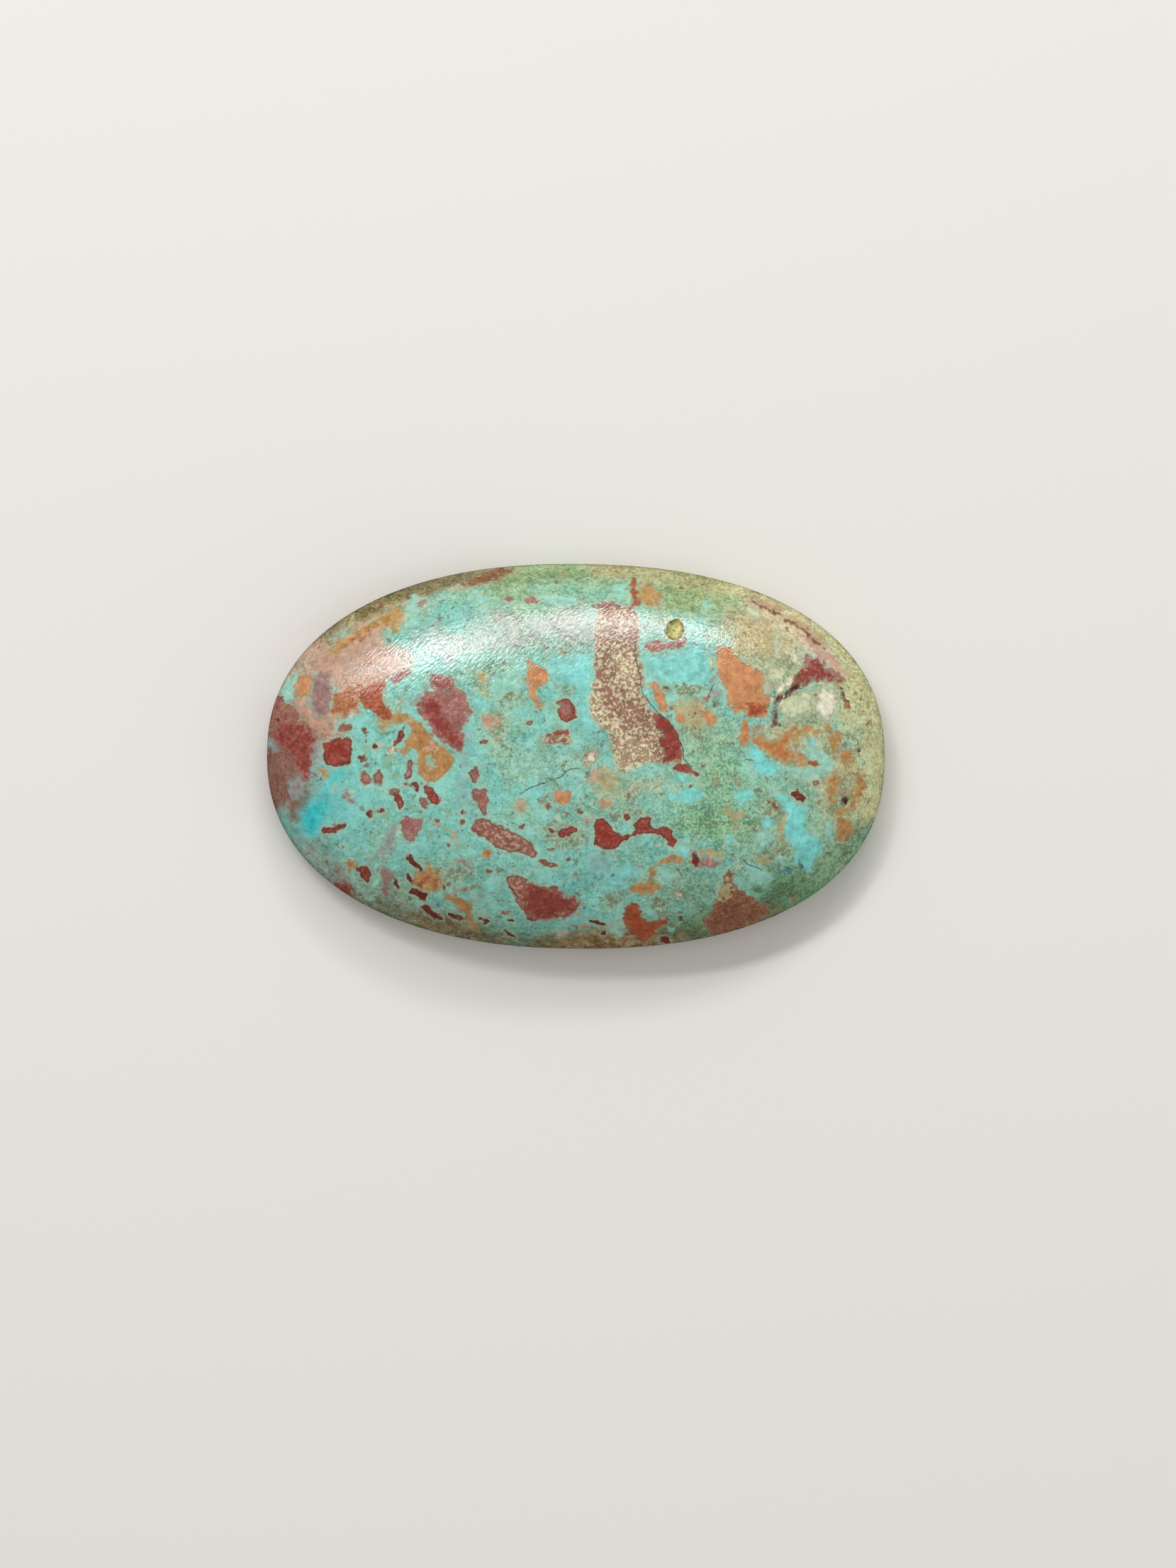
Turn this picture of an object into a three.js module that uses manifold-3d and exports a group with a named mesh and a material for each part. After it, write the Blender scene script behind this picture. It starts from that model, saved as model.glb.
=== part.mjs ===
// A polished oval cabochon of chrysocolla with cuprite and malachite: one natural stone, one solid.
// Millimetres, +Z up. The stone lies on its flat back with the dome up and +X along its length.
// The origin is on the back, below the middle of the outline.
import * as THREE from "three";
import { mergeVertices } from "three/addons/utils/BufferGeometryUtils.js";
import Module from "manifold-3d";

// Driving dimensions
const LENGTH = 35.0;
const WIDTH = 21.8;
const THICKNESS = 6.4;

// The outline is an oval a little fuller than an ellipse, whose power is 2
const FULLNESS_LEFT = 2.23;
const FULLNESS_RIGHT = 2.31;

// The edge: the dome ends in a soft crease above the girdle, and a bevel runs under to the back
const CREASE_HEIGHT = 2.3;
const CREASE_INSET = 0.45;
const GIRDLE_HEIGHT = 1.3;
const BACK_BEVEL = 0.6;
const EDGE_STEPS = 3;

// The dome is the upper part of a power curve, cut short of its upright end
const DOME_POWER = 2.2;
const DOME_REACH = 0.965;
const DOME_RINGS = 24;
const SEGMENTS = 112;

// Hand grinding leaves the dome slightly uneven
const WAVE_HEIGHT = 0.045;
const WAVE_LENGTH = 15;
const WAVE_PHASE = 1.1;

// Pits and open fissures in the polish: the middle of each on the face, its size, and its turn in degrees
const PITS = [
  { x: 5.5, y: 7.15, length: 1.1, width: 0.8, depth: 0.35, turn: 70 },
  { x: 15.2, y: -2.4, length: 0.5, width: 0.4, depth: 0.3, turn: 80 },
  { x: 15.95, y: 0.47, length: 0.4, width: 0.3, depth: 0.2, turn: 40 },
  { x: -0.5, y: -10.0, length: 1.0, width: 0.5, depth: 0.25, turn: 10 },
  { x: 5.8, y: -7.7, length: 0.6, width: 0.5, depth: 0.2, turn: 30 },
  { x: 4.9, y: -8.3, length: 0.8, width: 0.55, depth: 0.25, turn: 120 },
  { x: -7.3, y: 10.1, length: 0.9, width: 0.35, depth: 0.2, turn: 10 },
  { x: 11.15, y: 2.3, length: 1.2, width: 0.35, depth: 0.25, turn: 95 },
  { x: 11.35, y: 3.3, length: 0.9, width: 0.35, depth: 0.25, turn: 55 },
  { x: 12.15, y: 3.85, length: 1.1, width: 0.3, depth: 0.2, turn: 30 },
  { x: 15.0, y: 3.7, length: 1.4, width: 0.3, depth: 0.2, turn: 118 },
];
const PIT_DETAIL = 1;

const STONE_COLOUR = 0x7fb8a8;
const STONE_ROUGHNESS = 0.22;

const WELD_TOLERANCE = 1e-4;

const HALF_LENGTH = LENGTH / 2;
const HALF_WIDTH = WIDTH / 2;
const CREASE_RADIUS = HALF_WIDTH - CREASE_INSET;
const DOME_STRETCH = (HALF_LENGTH - CREASE_INSET) / CREASE_RADIUS;

const wasm = await Module();
wasm.setup();

// Height of the dome above the back, at a share of the way from its middle to the crease
function domeHeight(share) {
  const curve = (s) => (1 - (DOME_REACH * s) ** DOME_POWER) ** (1 / DOME_POWER);
  const rise = (curve(share) - curve(1)) / (1 - curve(1));
  return CREASE_HEIGHT + (THICKNESS - CREASE_HEIGHT) * rise;
}

// The unevenness at a point of the face, none at the middle of the dome or at the crease
function wave(x, y, share) {
  const along = Math.sin((2 * Math.PI * x) / WAVE_LENGTH + WAVE_PHASE);
  const across = Math.cos((2 * Math.PI * y) / WAVE_LENGTH);
  const fade = 4 * share ** 2 * (1 - share ** 2);
  return WAVE_HEIGHT * along * across * fade;
}

// How much further out the oval is than an ellipse, at an angle round the middle
function fullness(angle) {
  const along = Math.abs(Math.cos(angle));
  const across = Math.abs(Math.sin(angle));
  const power = Math.cos(angle) < 0 ? FULLNESS_LEFT : FULLNESS_RIGHT;
  return (along ** power + across ** power) ** (-1 / power);
}

// The section across the stone's width, from the middle of the back round the edge to the top
function widthSection() {
  const outer = new THREE.Vector2(HALF_WIDTH, GIRDLE_HEIGHT);
  const backEdge = new THREE.Vector2(HALF_WIDTH - BACK_BEVEL, 0);
  const backCorner = new THREE.Vector2(HALF_WIDTH, GIRDLE_HEIGHT / 3);
  const crease = new THREE.Vector2(CREASE_RADIUS, CREASE_HEIGHT);
  const sideCorner = new THREE.Vector2(HALF_WIDTH, (GIRDLE_HEIGHT + CREASE_HEIGHT) / 2);
  const bevel = new THREE.QuadraticBezierCurve(backEdge, backCorner, outer).getPoints(EDGE_STEPS);
  const side = new THREE.QuadraticBezierCurve(outer, sideCorner, crease).getPoints(EDGE_STEPS);
  const points = [new THREE.Vector2(0, 0), ...bevel, ...side.slice(1)];
  for (let ring = DOME_RINGS - 1; ring >= 0; ring--) {
    const share = Math.sin((Math.PI / 2) * (ring / DOME_RINGS));
    points.push(new THREE.Vector2(CREASE_RADIUS * share, domeHeight(share)));
  }
  return points;
}

// The half length of the ring that has this half width: the dome is drawn out, and the edge keeps its section
function halfLength(radius) {
  return radius < CREASE_RADIUS ? radius * DOME_STRETCH : radius + HALF_LENGTH - HALF_WIDTH;
}

// The section turned round the middle, then drawn out along X to the oval
function ovalGeometry() {
  const geometry = new THREE.LatheGeometry(widthSection(), SEGMENTS).rotateX(Math.PI / 2);
  const position = geometry.getAttribute("position");
  for (let i = 0; i < position.count; i++) {
    const radius = Math.hypot(position.getX(i), position.getY(i));
    const angle = Math.atan2(position.getY(i), position.getX(i));
    const x = halfLength(radius) * Math.cos(angle) * fullness(angle);
    const y = radius * Math.sin(angle) * fullness(angle);
    const onDome = position.getZ(i) > CREASE_HEIGHT;
    const height = position.getZ(i) + (onDome ? wave(x, y, radius / CREASE_RADIUS) : 0);
    position.setXYZ(i, x, y, height);
  }
  return geometry;
}

// A closed geometry as a manifold-3d solid
function solidOf(geometry) {
  geometry.deleteAttribute("normal");
  geometry.deleteAttribute("uv");
  const merged = mergeVertices(geometry, WELD_TOLERANCE);
  return new wasm.Manifold(
    new wasm.Mesh({
      numProp: 3,
      vertProperties: merged.getAttribute("position").array,
      triVerts: new Uint32Array(merged.index.array),
    }),
  );
}

// A manifold-3d solid as a geometry
function geometryOf(solid) {
  const mesh = solid.getMesh();
  const geometry = new THREE.BufferGeometry();
  geometry.setAttribute("position", new THREE.BufferAttribute(mesh.vertProperties, 3));
  geometry.setIndex(new THREE.BufferAttribute(mesh.triVerts, 1));
  geometry.computeVertexNormals();
  return geometry;
}

// The height of the dome over a point of the face
function faceHeight(x, y) {
  const angle = Math.atan2(y, x / DOME_STRETCH);
  const radius = Math.hypot(x / DOME_STRETCH, y) / fullness(angle);
  const share = Math.min(radius / CREASE_RADIUS, 1);
  return domeHeight(share) + wave(x, y, share);
}

// A pit's cutter: an angular lump whose middle is on the surface
function pitCutter(pit) {
  const lump = new THREE.IcosahedronGeometry(1, PIT_DETAIL);
  lump.scale(pit.length / 2, pit.width / 2, pit.depth);
  lump.rotateZ(THREE.MathUtils.degToRad(pit.turn));
  lump.translate(pit.x, pit.y, faceHeight(pit.x, pit.y));
  return solidOf(lump);
}

function makeStone() {
  const body = PITS.reduce((solid, pit) => solid.subtract(pitCutter(pit)), solidOf(ovalGeometry()));
  const material = new THREE.MeshStandardMaterial({
    color: STONE_COLOUR,
    roughness: STONE_ROUGHNESS,
    metalness: 0,
  });
  const stone = new THREE.Mesh(geometryOf(body), material);
  stone.name = "stone";
  return stone;
}

const cabochon = new THREE.Group();
cabochon.add(makeStone());

export default cabochon;
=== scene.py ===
import math
from collections import namedtuple

import bpy
import numpy as np
from mathutils import Matrix, Vector


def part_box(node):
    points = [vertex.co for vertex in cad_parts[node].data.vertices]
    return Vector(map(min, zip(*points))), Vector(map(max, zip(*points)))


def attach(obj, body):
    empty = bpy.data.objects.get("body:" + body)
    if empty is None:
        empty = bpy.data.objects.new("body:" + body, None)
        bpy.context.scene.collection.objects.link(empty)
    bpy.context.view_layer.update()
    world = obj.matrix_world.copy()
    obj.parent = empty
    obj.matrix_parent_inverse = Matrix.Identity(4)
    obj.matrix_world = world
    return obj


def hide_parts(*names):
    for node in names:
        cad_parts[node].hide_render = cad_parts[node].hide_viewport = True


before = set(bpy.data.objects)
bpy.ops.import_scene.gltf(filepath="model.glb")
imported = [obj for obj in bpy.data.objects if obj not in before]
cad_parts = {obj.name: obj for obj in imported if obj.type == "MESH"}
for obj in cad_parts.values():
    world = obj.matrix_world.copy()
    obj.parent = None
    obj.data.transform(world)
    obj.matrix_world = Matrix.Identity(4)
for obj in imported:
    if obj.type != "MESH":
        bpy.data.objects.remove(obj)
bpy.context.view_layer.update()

# A polished oval cabochon of chrysocolla with cuprite and malachite, lying on its flat back.
# Shapes are worked out in millimetres, with +X along the stone's length and +Z up.
MM = 0.001

# The stone's size comes from the frame
STONE_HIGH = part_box("stone")[1]
HALF_LENGTH = STONE_HIGH.x / MM
HALF_WIDTH = STONE_HIGH.y / MM
THICKNESS = STONE_HIGH.z / MM

# The outline is an oval a little fuller than an ellipse, whose power is 2
FULLNESS_LEFT = 2.23
FULLNESS_RIGHT = 2.31

# The edge: the dome ends in a soft crease above the girdle, and a bevel runs under to the back
CREASE_HEIGHT = 2.3
CREASE_INSET = 0.45
GIRDLE_HEIGHT = 1.3
BACK_BEVEL = 0.6
EDGE_STEPS = 6
CREASE_RADIUS = HALF_WIDTH - CREASE_INSET
BACK_RADIUS = HALF_WIDTH - BACK_BEVEL
DOME_STRETCH = (HALF_LENGTH - CREASE_INSET) / CREASE_RADIUS

# The dome is the upper part of a power curve, and hand grinding leaves it slightly uneven
DOME_POWER = 2.2
DOME_REACH = 0.965
WAVE_HEIGHT = 0.045
WAVE_LENGTH = 15
WAVE_PHASE = 1.1

# The mesh: rings from the top to the middle of the back, with fewer points where they are small
DOME_RINGS = 150
BACK_RINGS = 40
FIRST_COUNT = 14
DOME_COUNT = 600
BACK_COUNT = 400

# Pits and open fissures in the polish: the middle of each, its length, width and depth, and its turn
# in degrees
PITS = [
    (5.5, 7.15, 1.1, 0.8, 0.35, 70),
    (15.2, -2.4, 0.5, 0.4, 0.3, 80),
    (15.95, 0.47, 0.4, 0.3, 0.2, 40),
    (-0.5, -10.0, 1.0, 0.5, 0.25, 10),
    (5.8, -7.7, 0.6, 0.5, 0.2, 30),
    (4.9, -8.3, 0.8, 0.55, 0.25, 120),
    (-7.3, 10.1, 0.9, 0.35, 0.2, 10),
    (11.15, 2.3, 1.2, 0.35, 0.25, 95),
    (11.35, 3.3, 0.9, 0.35, 0.25, 55),
    (12.15, 3.85, 1.1, 0.3, 0.2, 30),
    (15.0, 3.7, 1.4, 0.3, 0.2, 118),
]

# Ground tones of the blue-green mass: a light and a dark colour in eight-bit sRGB, how grainy it is,
# how much of it is covered by sage and by earthy clouds, and how many dark specks it has
Tone = namedtuple("Tone", "light dark grain sage earth specks")
GROUND = {
    "turquoise": Tone((148, 214, 200), (110, 182, 172), 0.3, 0.45, 0.06, 0.5),
    "pale turquoise": Tone((172, 208, 186), (126, 174, 154), 0.65, 0.5, 0.18, 0.9),
    "deep cyan": Tone((84, 210, 208), (56, 196, 200), 0.1, 0.0, 0.0, 0.0),
    "sky": Tone((138, 212, 206), (112, 196, 190), 0.1, 0.08, 0.0, 0.1),
    "lagoon": Tone((126, 190, 180), (88, 156, 152), 0.5, 0.2, 0.05, 0.8),
    "pale sage": Tone((188, 202, 164), (144, 166, 132), 0.7, 0.0, 0.5, 0.6),
    "sage": Tone((166, 198, 160), (116, 158, 124), 0.8, 0.0, 0.3, 0.85),
    "malachite": Tone((156, 198, 152), (94, 142, 102), 1.0, 0.0, 0.2, 0.8),
    "grey green": Tone((150, 184, 160), (98, 140, 118), 0.7, 0.0, 0.25, 0.6),
    "ash": Tone((178, 182, 172), (134, 142, 132), 0.4, 0.2, 0.1, 0.4),
    "dark green": Tone((126, 168, 128), (84, 120, 86), 0.6, 0.0, 0.15, 0.4),
    "moss": Tone((168, 188, 136), (122, 144, 94), 0.7, 0.1, 0.25, 0.5),
    "lichen": Tone((226, 222, 168), (184, 182, 130), 1.0, 0.0, 0.45, 0.6),
    "khaki": Tone((210, 192, 146), (164, 146, 100), 0.8, 0.1, 0.25, 0.4),
    "blush": Tone((204, 164, 140), (162, 122, 100), 0.5, 0.0, 0.15, 0.4),
    "beige": Tone((222, 206, 178), (190, 168, 138), 0.6, 0.0, 0.15, 0.3),
    "umber": Tone((164, 128, 80), (108, 80, 50), 0.6, 0.1, 0.5, 0.5),
    "wine": Tone((158, 104, 90), (122, 76, 66), 0.4, 0.0, 0.1, 0.3),
    "olive": Tone((126, 122, 82), (84, 82, 54), 0.5, 0.0, 0.3, 0.4),
}

# Where the ground changes tone: the tone, the middle of the zone, its reach both ways, and its strength
GROUND_ZONES = [
    ("sky", -13.5, -2.8, 2.4, 2.0, 0.9),
    ("deep cyan", -14.5, -3.3, 1.0, 1.2, 0.85),
    ("pale turquoise", -4.6, 3.6, 2.0, 1.6, 0.8),
    ("pale turquoise", -2.0, 6.5, 4.0, 1.6, 0.8),
    ("pale turquoise", -1.5, -0.3, 2.4, 1.4, 0.7),
    ("pale turquoise", -10.8, -4.6, 1.4, 1.6, 0.4),
    ("pale turquoise", 5.6, 5.2, 2.2, 1.8, 0.7),
    ("sky", -0.2, 5.0, 1.2, 1.1, 0.7),
    ("sky", 0.5, 3.4, 0.6, 1.3, 0.6),
    ("lagoon", 2.0, -6.6, 2.2, 1.3, 0.85),
    ("lagoon", 1.3, 0.9, 0.8, 1.2, 0.6),
    ("sky", -8.8, -5.5, 1.2, 0.9, 0.4),
    ("sage", -4.3, 1.1, 1.2, 1.5, 0.85),
    ("sage", -3.4, -0.9, 0.8, 0.7, 0.5),
    ("sage", -5.2, 3.9, 0.6, 1.0, 0.6),
    ("pale sage", 3.2, -1.7, 2.8, 1.0, 0.8),
    ("sage", 0.9, -2.8, 1.5, 0.8, 0.5),
    ("sage", 7.4, 1.0, 2.2, 2.2, 0.9),
    ("sage", 4.0, -6.6, 2.4, 1.6, 0.5),
    ("malachite", 8.2, -1.4, 2.2, 1.4, 0.85),
    ("malachite", 7.4, -3.6, 2.6, 1.4, 0.95),
    ("malachite", 9.6, -4.6, 1.8, 1.2, 0.85),
    ("sage", 11.4, -3.6, 2.2, 2.4, 0.85),
    ("pale sage", 13.4, -0.6, 2.2, 1.4, 0.9),
    ("pale turquoise", 11.0, -5.6, 1.7, 1.3, 0.6),
    ("khaki", 12.0, 1.2, 2.4, 0.9, 0.8),
    ("pale sage", 14.6, -2.6, 1.4, 1.8, 0.8),
    ("grey green", 6.8, -7.2, 2.2, 1.6, 0.85),
    ("grey green", 11.0, -6.2, 2.4, 1.1, 0.8),
    ("grey green", -11.5, -7.5, 2.8, 1.1, 0.7),
    ("grey green", -6.2, -9.2, 3.0, 0.9, 0.7),
    ("moss", -9.6, -8.3, 1.3, 0.6, 0.65),
    ("grey green", -4.2, -6.6, 2.0, 1.2, 0.5),
    ("grey green", -7.2, -6.8, 1.6, 1.2, 0.5),
    ("sage", -3.2, -3.3, 1.2, 0.8, 0.6),
    ("dark green", 12.8, -7.6, 2.4, 1.2, 0.95),
    ("sage", 14.9, -5.3, 1.3, 1.4, 0.85),
    ("dark green", 6.4, -9.4, 2.0, 0.9, 0.8),
    # The ash zones lie along the path of the highlight: painted sheen, a greyer ground under it that makes
    # the highlight read whiter
    ("ash", -7.0, 6.3, 2.4, 0.9, 0.75),
    ("ash", -3.2, 7.1, 2.4, 1.1, 0.85),
    ("ash", -0.2, 7.4, 2.0, 1.2, 0.9),
    ("ash", 4.4, 7.5, 1.4, 0.7, 0.7),
    ("grey green", -9.5, 3.5, 0.8, 0.6, 0.6),
    ("sage", -4.0, 8.8, 4.5, 0.9, 0.7),
    ("moss", 6.3, 8.9, 3.0, 1.3, 0.9),
    ("khaki", -11.2, 8.4, 2.6, 1.0, 0.7),
    ("pale sage", -11.4, 8.1, 2.2, 0.9, 0.8),
    ("blush", -14.4, 5.8, 1.3, 1.3, 0.7),
    ("khaki", 10.3, 7.0, 2.2, 1.9, 0.95),
    ("khaki", 11.6, 5.4, 1.4, 1.2, 0.8),
    ("khaki", 8.6, 7.6, 1.2, 1.0, 0.6),
    ("beige", 11.4, 7.9, 1.8, 0.7, 0.85),
    ("beige", 13.0, 6.8, 1.4, 1.0, 0.9),
    ("pale sage", 13.2, 2.9, 2.0, 1.5, 0.95),
    ("pale sage", 11.3, 4.5, 1.2, 1.1, 0.85),
    ("lichen", 15.7, 3.6, 0.9, 1.8, 0.8),
    ("khaki", 14.6, -1.0, 1.2, 1.8, 0.6),
    ("umber", 15.1, -1.6, 0.7, 1.4, 0.55),
    ("umber", 15.1, -3.7, 0.6, 0.8, 0.5),
    ("wine", -16.0, 0.4, 1.2, 2.4, 0.9),
    ("blush", -14.2, 1.5, 1.1, 0.8, 0.9),
]

# Where the ground changes tone along the rim: the tone, the angles that it starts and ends at in degrees,
# how far in it reaches, and its strength
# The lagoon zone at the lower left, the olive, umber and dark green zones round the bottom, and the thin
# olive and umber zones along the top edge darken the rim: partly the stone's own colour, partly painted
# shade where the edge turns away from the light
RIM_ZONES = [
    ("grey green", 210, 236, 0.8, 0.7),
    # Painted shade: a darker turquoise at the lower left of the rim
    ("lagoon", 198, 216, 0.9, 0.8),
    ("ash", 205, 250, 0.8, 0.6),
    ("wine", 163, 203, 1.3, 0.95),
    ("dark green", 292, 330, 1.5, 0.9),
    ("sage", 318, 346, 1.3, 0.8),
    # Along the bottom of the rim: the stone's own olive and umber, darkened with painted shade
    ("olive", 236, 312, 0.6, 0.8),
    ("olive", 224, 242, 0.4, 0.6),
    ("umber", 234, 258, 0.5, 0.5),
    ("umber", 262, 292, 0.7, 0.85),
    ("moss", 56, 112, 1.5, 0.9),
    ("khaki", 52, 90, 0.4, 0.55),
    ("umber", 100, 148, 0.42, 0.85),
    ("blush", 142, 164, 0.9, 0.8),
    ("lichen", 338, 32, 1.05, 0.9),
    ("lichen", 20, 66, 0.45, 0.95),
    # A thin olive line along the top edge: partly the stone's own colour, partly painted shade
    ("olive", 108, 140, 0.18, 0.6),
]
RIM_BLEND = 6

# How fast a zone fades from its middle, and the ripples that bend the zones' borders: the height of each,
# its pace, how far it is bent and at what pace
ZONE_POWER = 1.5
RIPPLES = [(0.35, 1.7, 1.2, 1.1), (0.22, 3.9, 1.5, 2.6), (0.12, 8.3, 1.8, 7.1)]
RIPPLE_TURN_X = 0.4
RIPPLE_TURN_Y = 2.1
RIPPLE_TURN_RIM = 1.2
RIM_RIPPLE = 0.4

# Kinds of marking: the colours of its core and of its edge in eight-bit sRGB, the strength of the grain
# that mixes them, how soft and how ragged the edge is in millimetres, and the strength of its dark rim
Kind = namedtuple("Kind", "core edge grain soft ragged rim")
KINDS = {
    "cyan": Kind((116, 216, 214), (146, 212, 198), 0.3, 0.1, 0.5, 0.2),
    "sky": Kind((128, 206, 202), (144, 204, 192), 0.2, 0.45, 0.7, 0.0),
    "deep cyan": Kind((44, 200, 206), (82, 204, 204), 0.2, 0.35, 0.5, 0.0),
    "aqua": Kind((148, 206, 190), (154, 202, 182), 0.15, 0.22, 0.7, 0.0),
    "pale green": Kind((198, 204, 170), (176, 186, 148), 0.4, 0.1, 0.5, 0.25),
    "host": Kind((146, 182, 158), (166, 172, 132), 0.25, 0.08, 0.6, 0.0),
    "grit": Kind((136, 130, 98), (160, 186, 152), 1.0, 0.5, 1.4, 0.0),
    "blue grey": Kind((140, 180, 178), (134, 186, 180), 0.2, 0.3, 0.8, 0.0),
    "grey": Kind((152, 144, 144), (150, 172, 164), 0.3, 0.2, 0.6, 0.0),
    "tan": Kind((194, 148, 128), (190, 152, 126), 0.4, 0.35, 0.9, 0.0),
    "pink": Kind((196, 146, 130), (202, 168, 142), 0.4, 0.14, 1.2, 0.0),
    "khaki": Kind((180, 160, 114), (172, 174, 132), 0.4, 0.15, 1.2, 0.0),
    "ochre": Kind((178, 128, 74), (178, 158, 110), 0.45, 0.14, 0.9, 0.1),
    "quartz": Kind((222, 218, 198), (200, 200, 174), 0.4, 0.06, 0.4, 0.35),
    "cream": Kind((218, 210, 184), (172, 158, 128), 0.4, 0.05, 0.6, 0.3),
    "rust": Kind((198, 134, 92), (194, 152, 112), 0.5, 0.08, 0.5, 0.3),
    "orange": Kind((188, 112, 60), (190, 146, 100), 0.5, 0.1, 0.5, 0.15),
    "amber": Kind((176, 126, 78), (180, 152, 106), 0.5, 0.08, 0.4, 0.2),
    "red rust": Kind((160, 78, 52), (174, 110, 76), 0.45, 0.08, 0.5, 0.35),
    "cuprite": Kind((146, 58, 48), (154, 92, 82), 0.5, 0.05, 0.3, 0.8),
    "brick": Kind((140, 66, 58), (158, 106, 96), 0.5, 0.25, 0.7, 0.0),
    "liver": Kind((138, 66, 56), (152, 94, 82), 0.5, 0.3, 0.9, 0.0),
    "rose": Kind((154, 102, 96), (178, 138, 128), 0.5, 0.08, 0.45, 0.5),
    "mauve": Kind((146, 88, 80), (172, 134, 122), 0.4, 0.07, 0.35, 0.8),
    "plum": Kind((148, 114, 110), (166, 140, 130), 0.35, 0.16, 0.5, 0.25),
    "maroon": Kind((104, 34, 32), (138, 72, 62), 0.4, 0.05, 0.3, 0.8),
    "brown": Kind((122, 82, 58), (150, 114, 84), 0.5, 0.07, 0.6, 0.35),
    "sienna": Kind((162, 98, 62), (182, 136, 100), 0.5, 0.25, 0.9, 0.0),
    "chestnut": Kind((134, 86, 66), (162, 126, 100), 0.65, 0.07, 0.5, 0.3),
    "chalk": Kind((226, 218, 198), (198, 192, 158), 0.4, 0.1, 1.0, 0.0),
    "pale speckle": Kind((176, 142, 116), (214, 204, 168), 1.0, 0.3, 0.8, 0.0),
    "speckle": Kind((150, 106, 92), (200, 186, 154), 1.0, 0.08, 0.4, 0.3),
    "pink speckle": Kind((152, 94, 84), (192, 148, 130), 0.8, 0.06, 0.3, 0.8),
    "dark teal": Kind((74, 124, 116), (98, 150, 138), 0.3, 0.06, 0.6, 0.0),
    "dark green": Kind((80, 112, 80), (108, 144, 108), 0.4, 0.08, 0.8, 0.0),
    "lichen": Kind((206, 202, 136), (136, 128, 78), 0.6, 0.05, 0.5, 1.0),
    "hole": Kind((74, 50, 42), (118, 88, 70), 0.3, 0.08, 0.4, 0.0),
}

# How many points the outline of a small oval marking has
SPOT_POINTS = 8


def spot(x, y, length, width, turn=0):
    """The outline of a small oval marking, turned by an angle in degrees."""
    angle = math.radians(turn)
    points = []
    for step in range(SPOT_POINTS):
        around = 2 * math.pi * step / SPOT_POINTS
        along = length / 2 * math.cos(around)
        across = width / 2 * math.sin(around)
        point_x = x + along * math.cos(angle) - across * math.sin(angle)
        point_y = y + along * math.sin(angle) + across * math.cos(angle)
        points.append((point_x, point_y))
    return points


# Outlines of markings and cracks are given in tenths of a millimetre from the stone's middle
TENTH = 0.1

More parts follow.
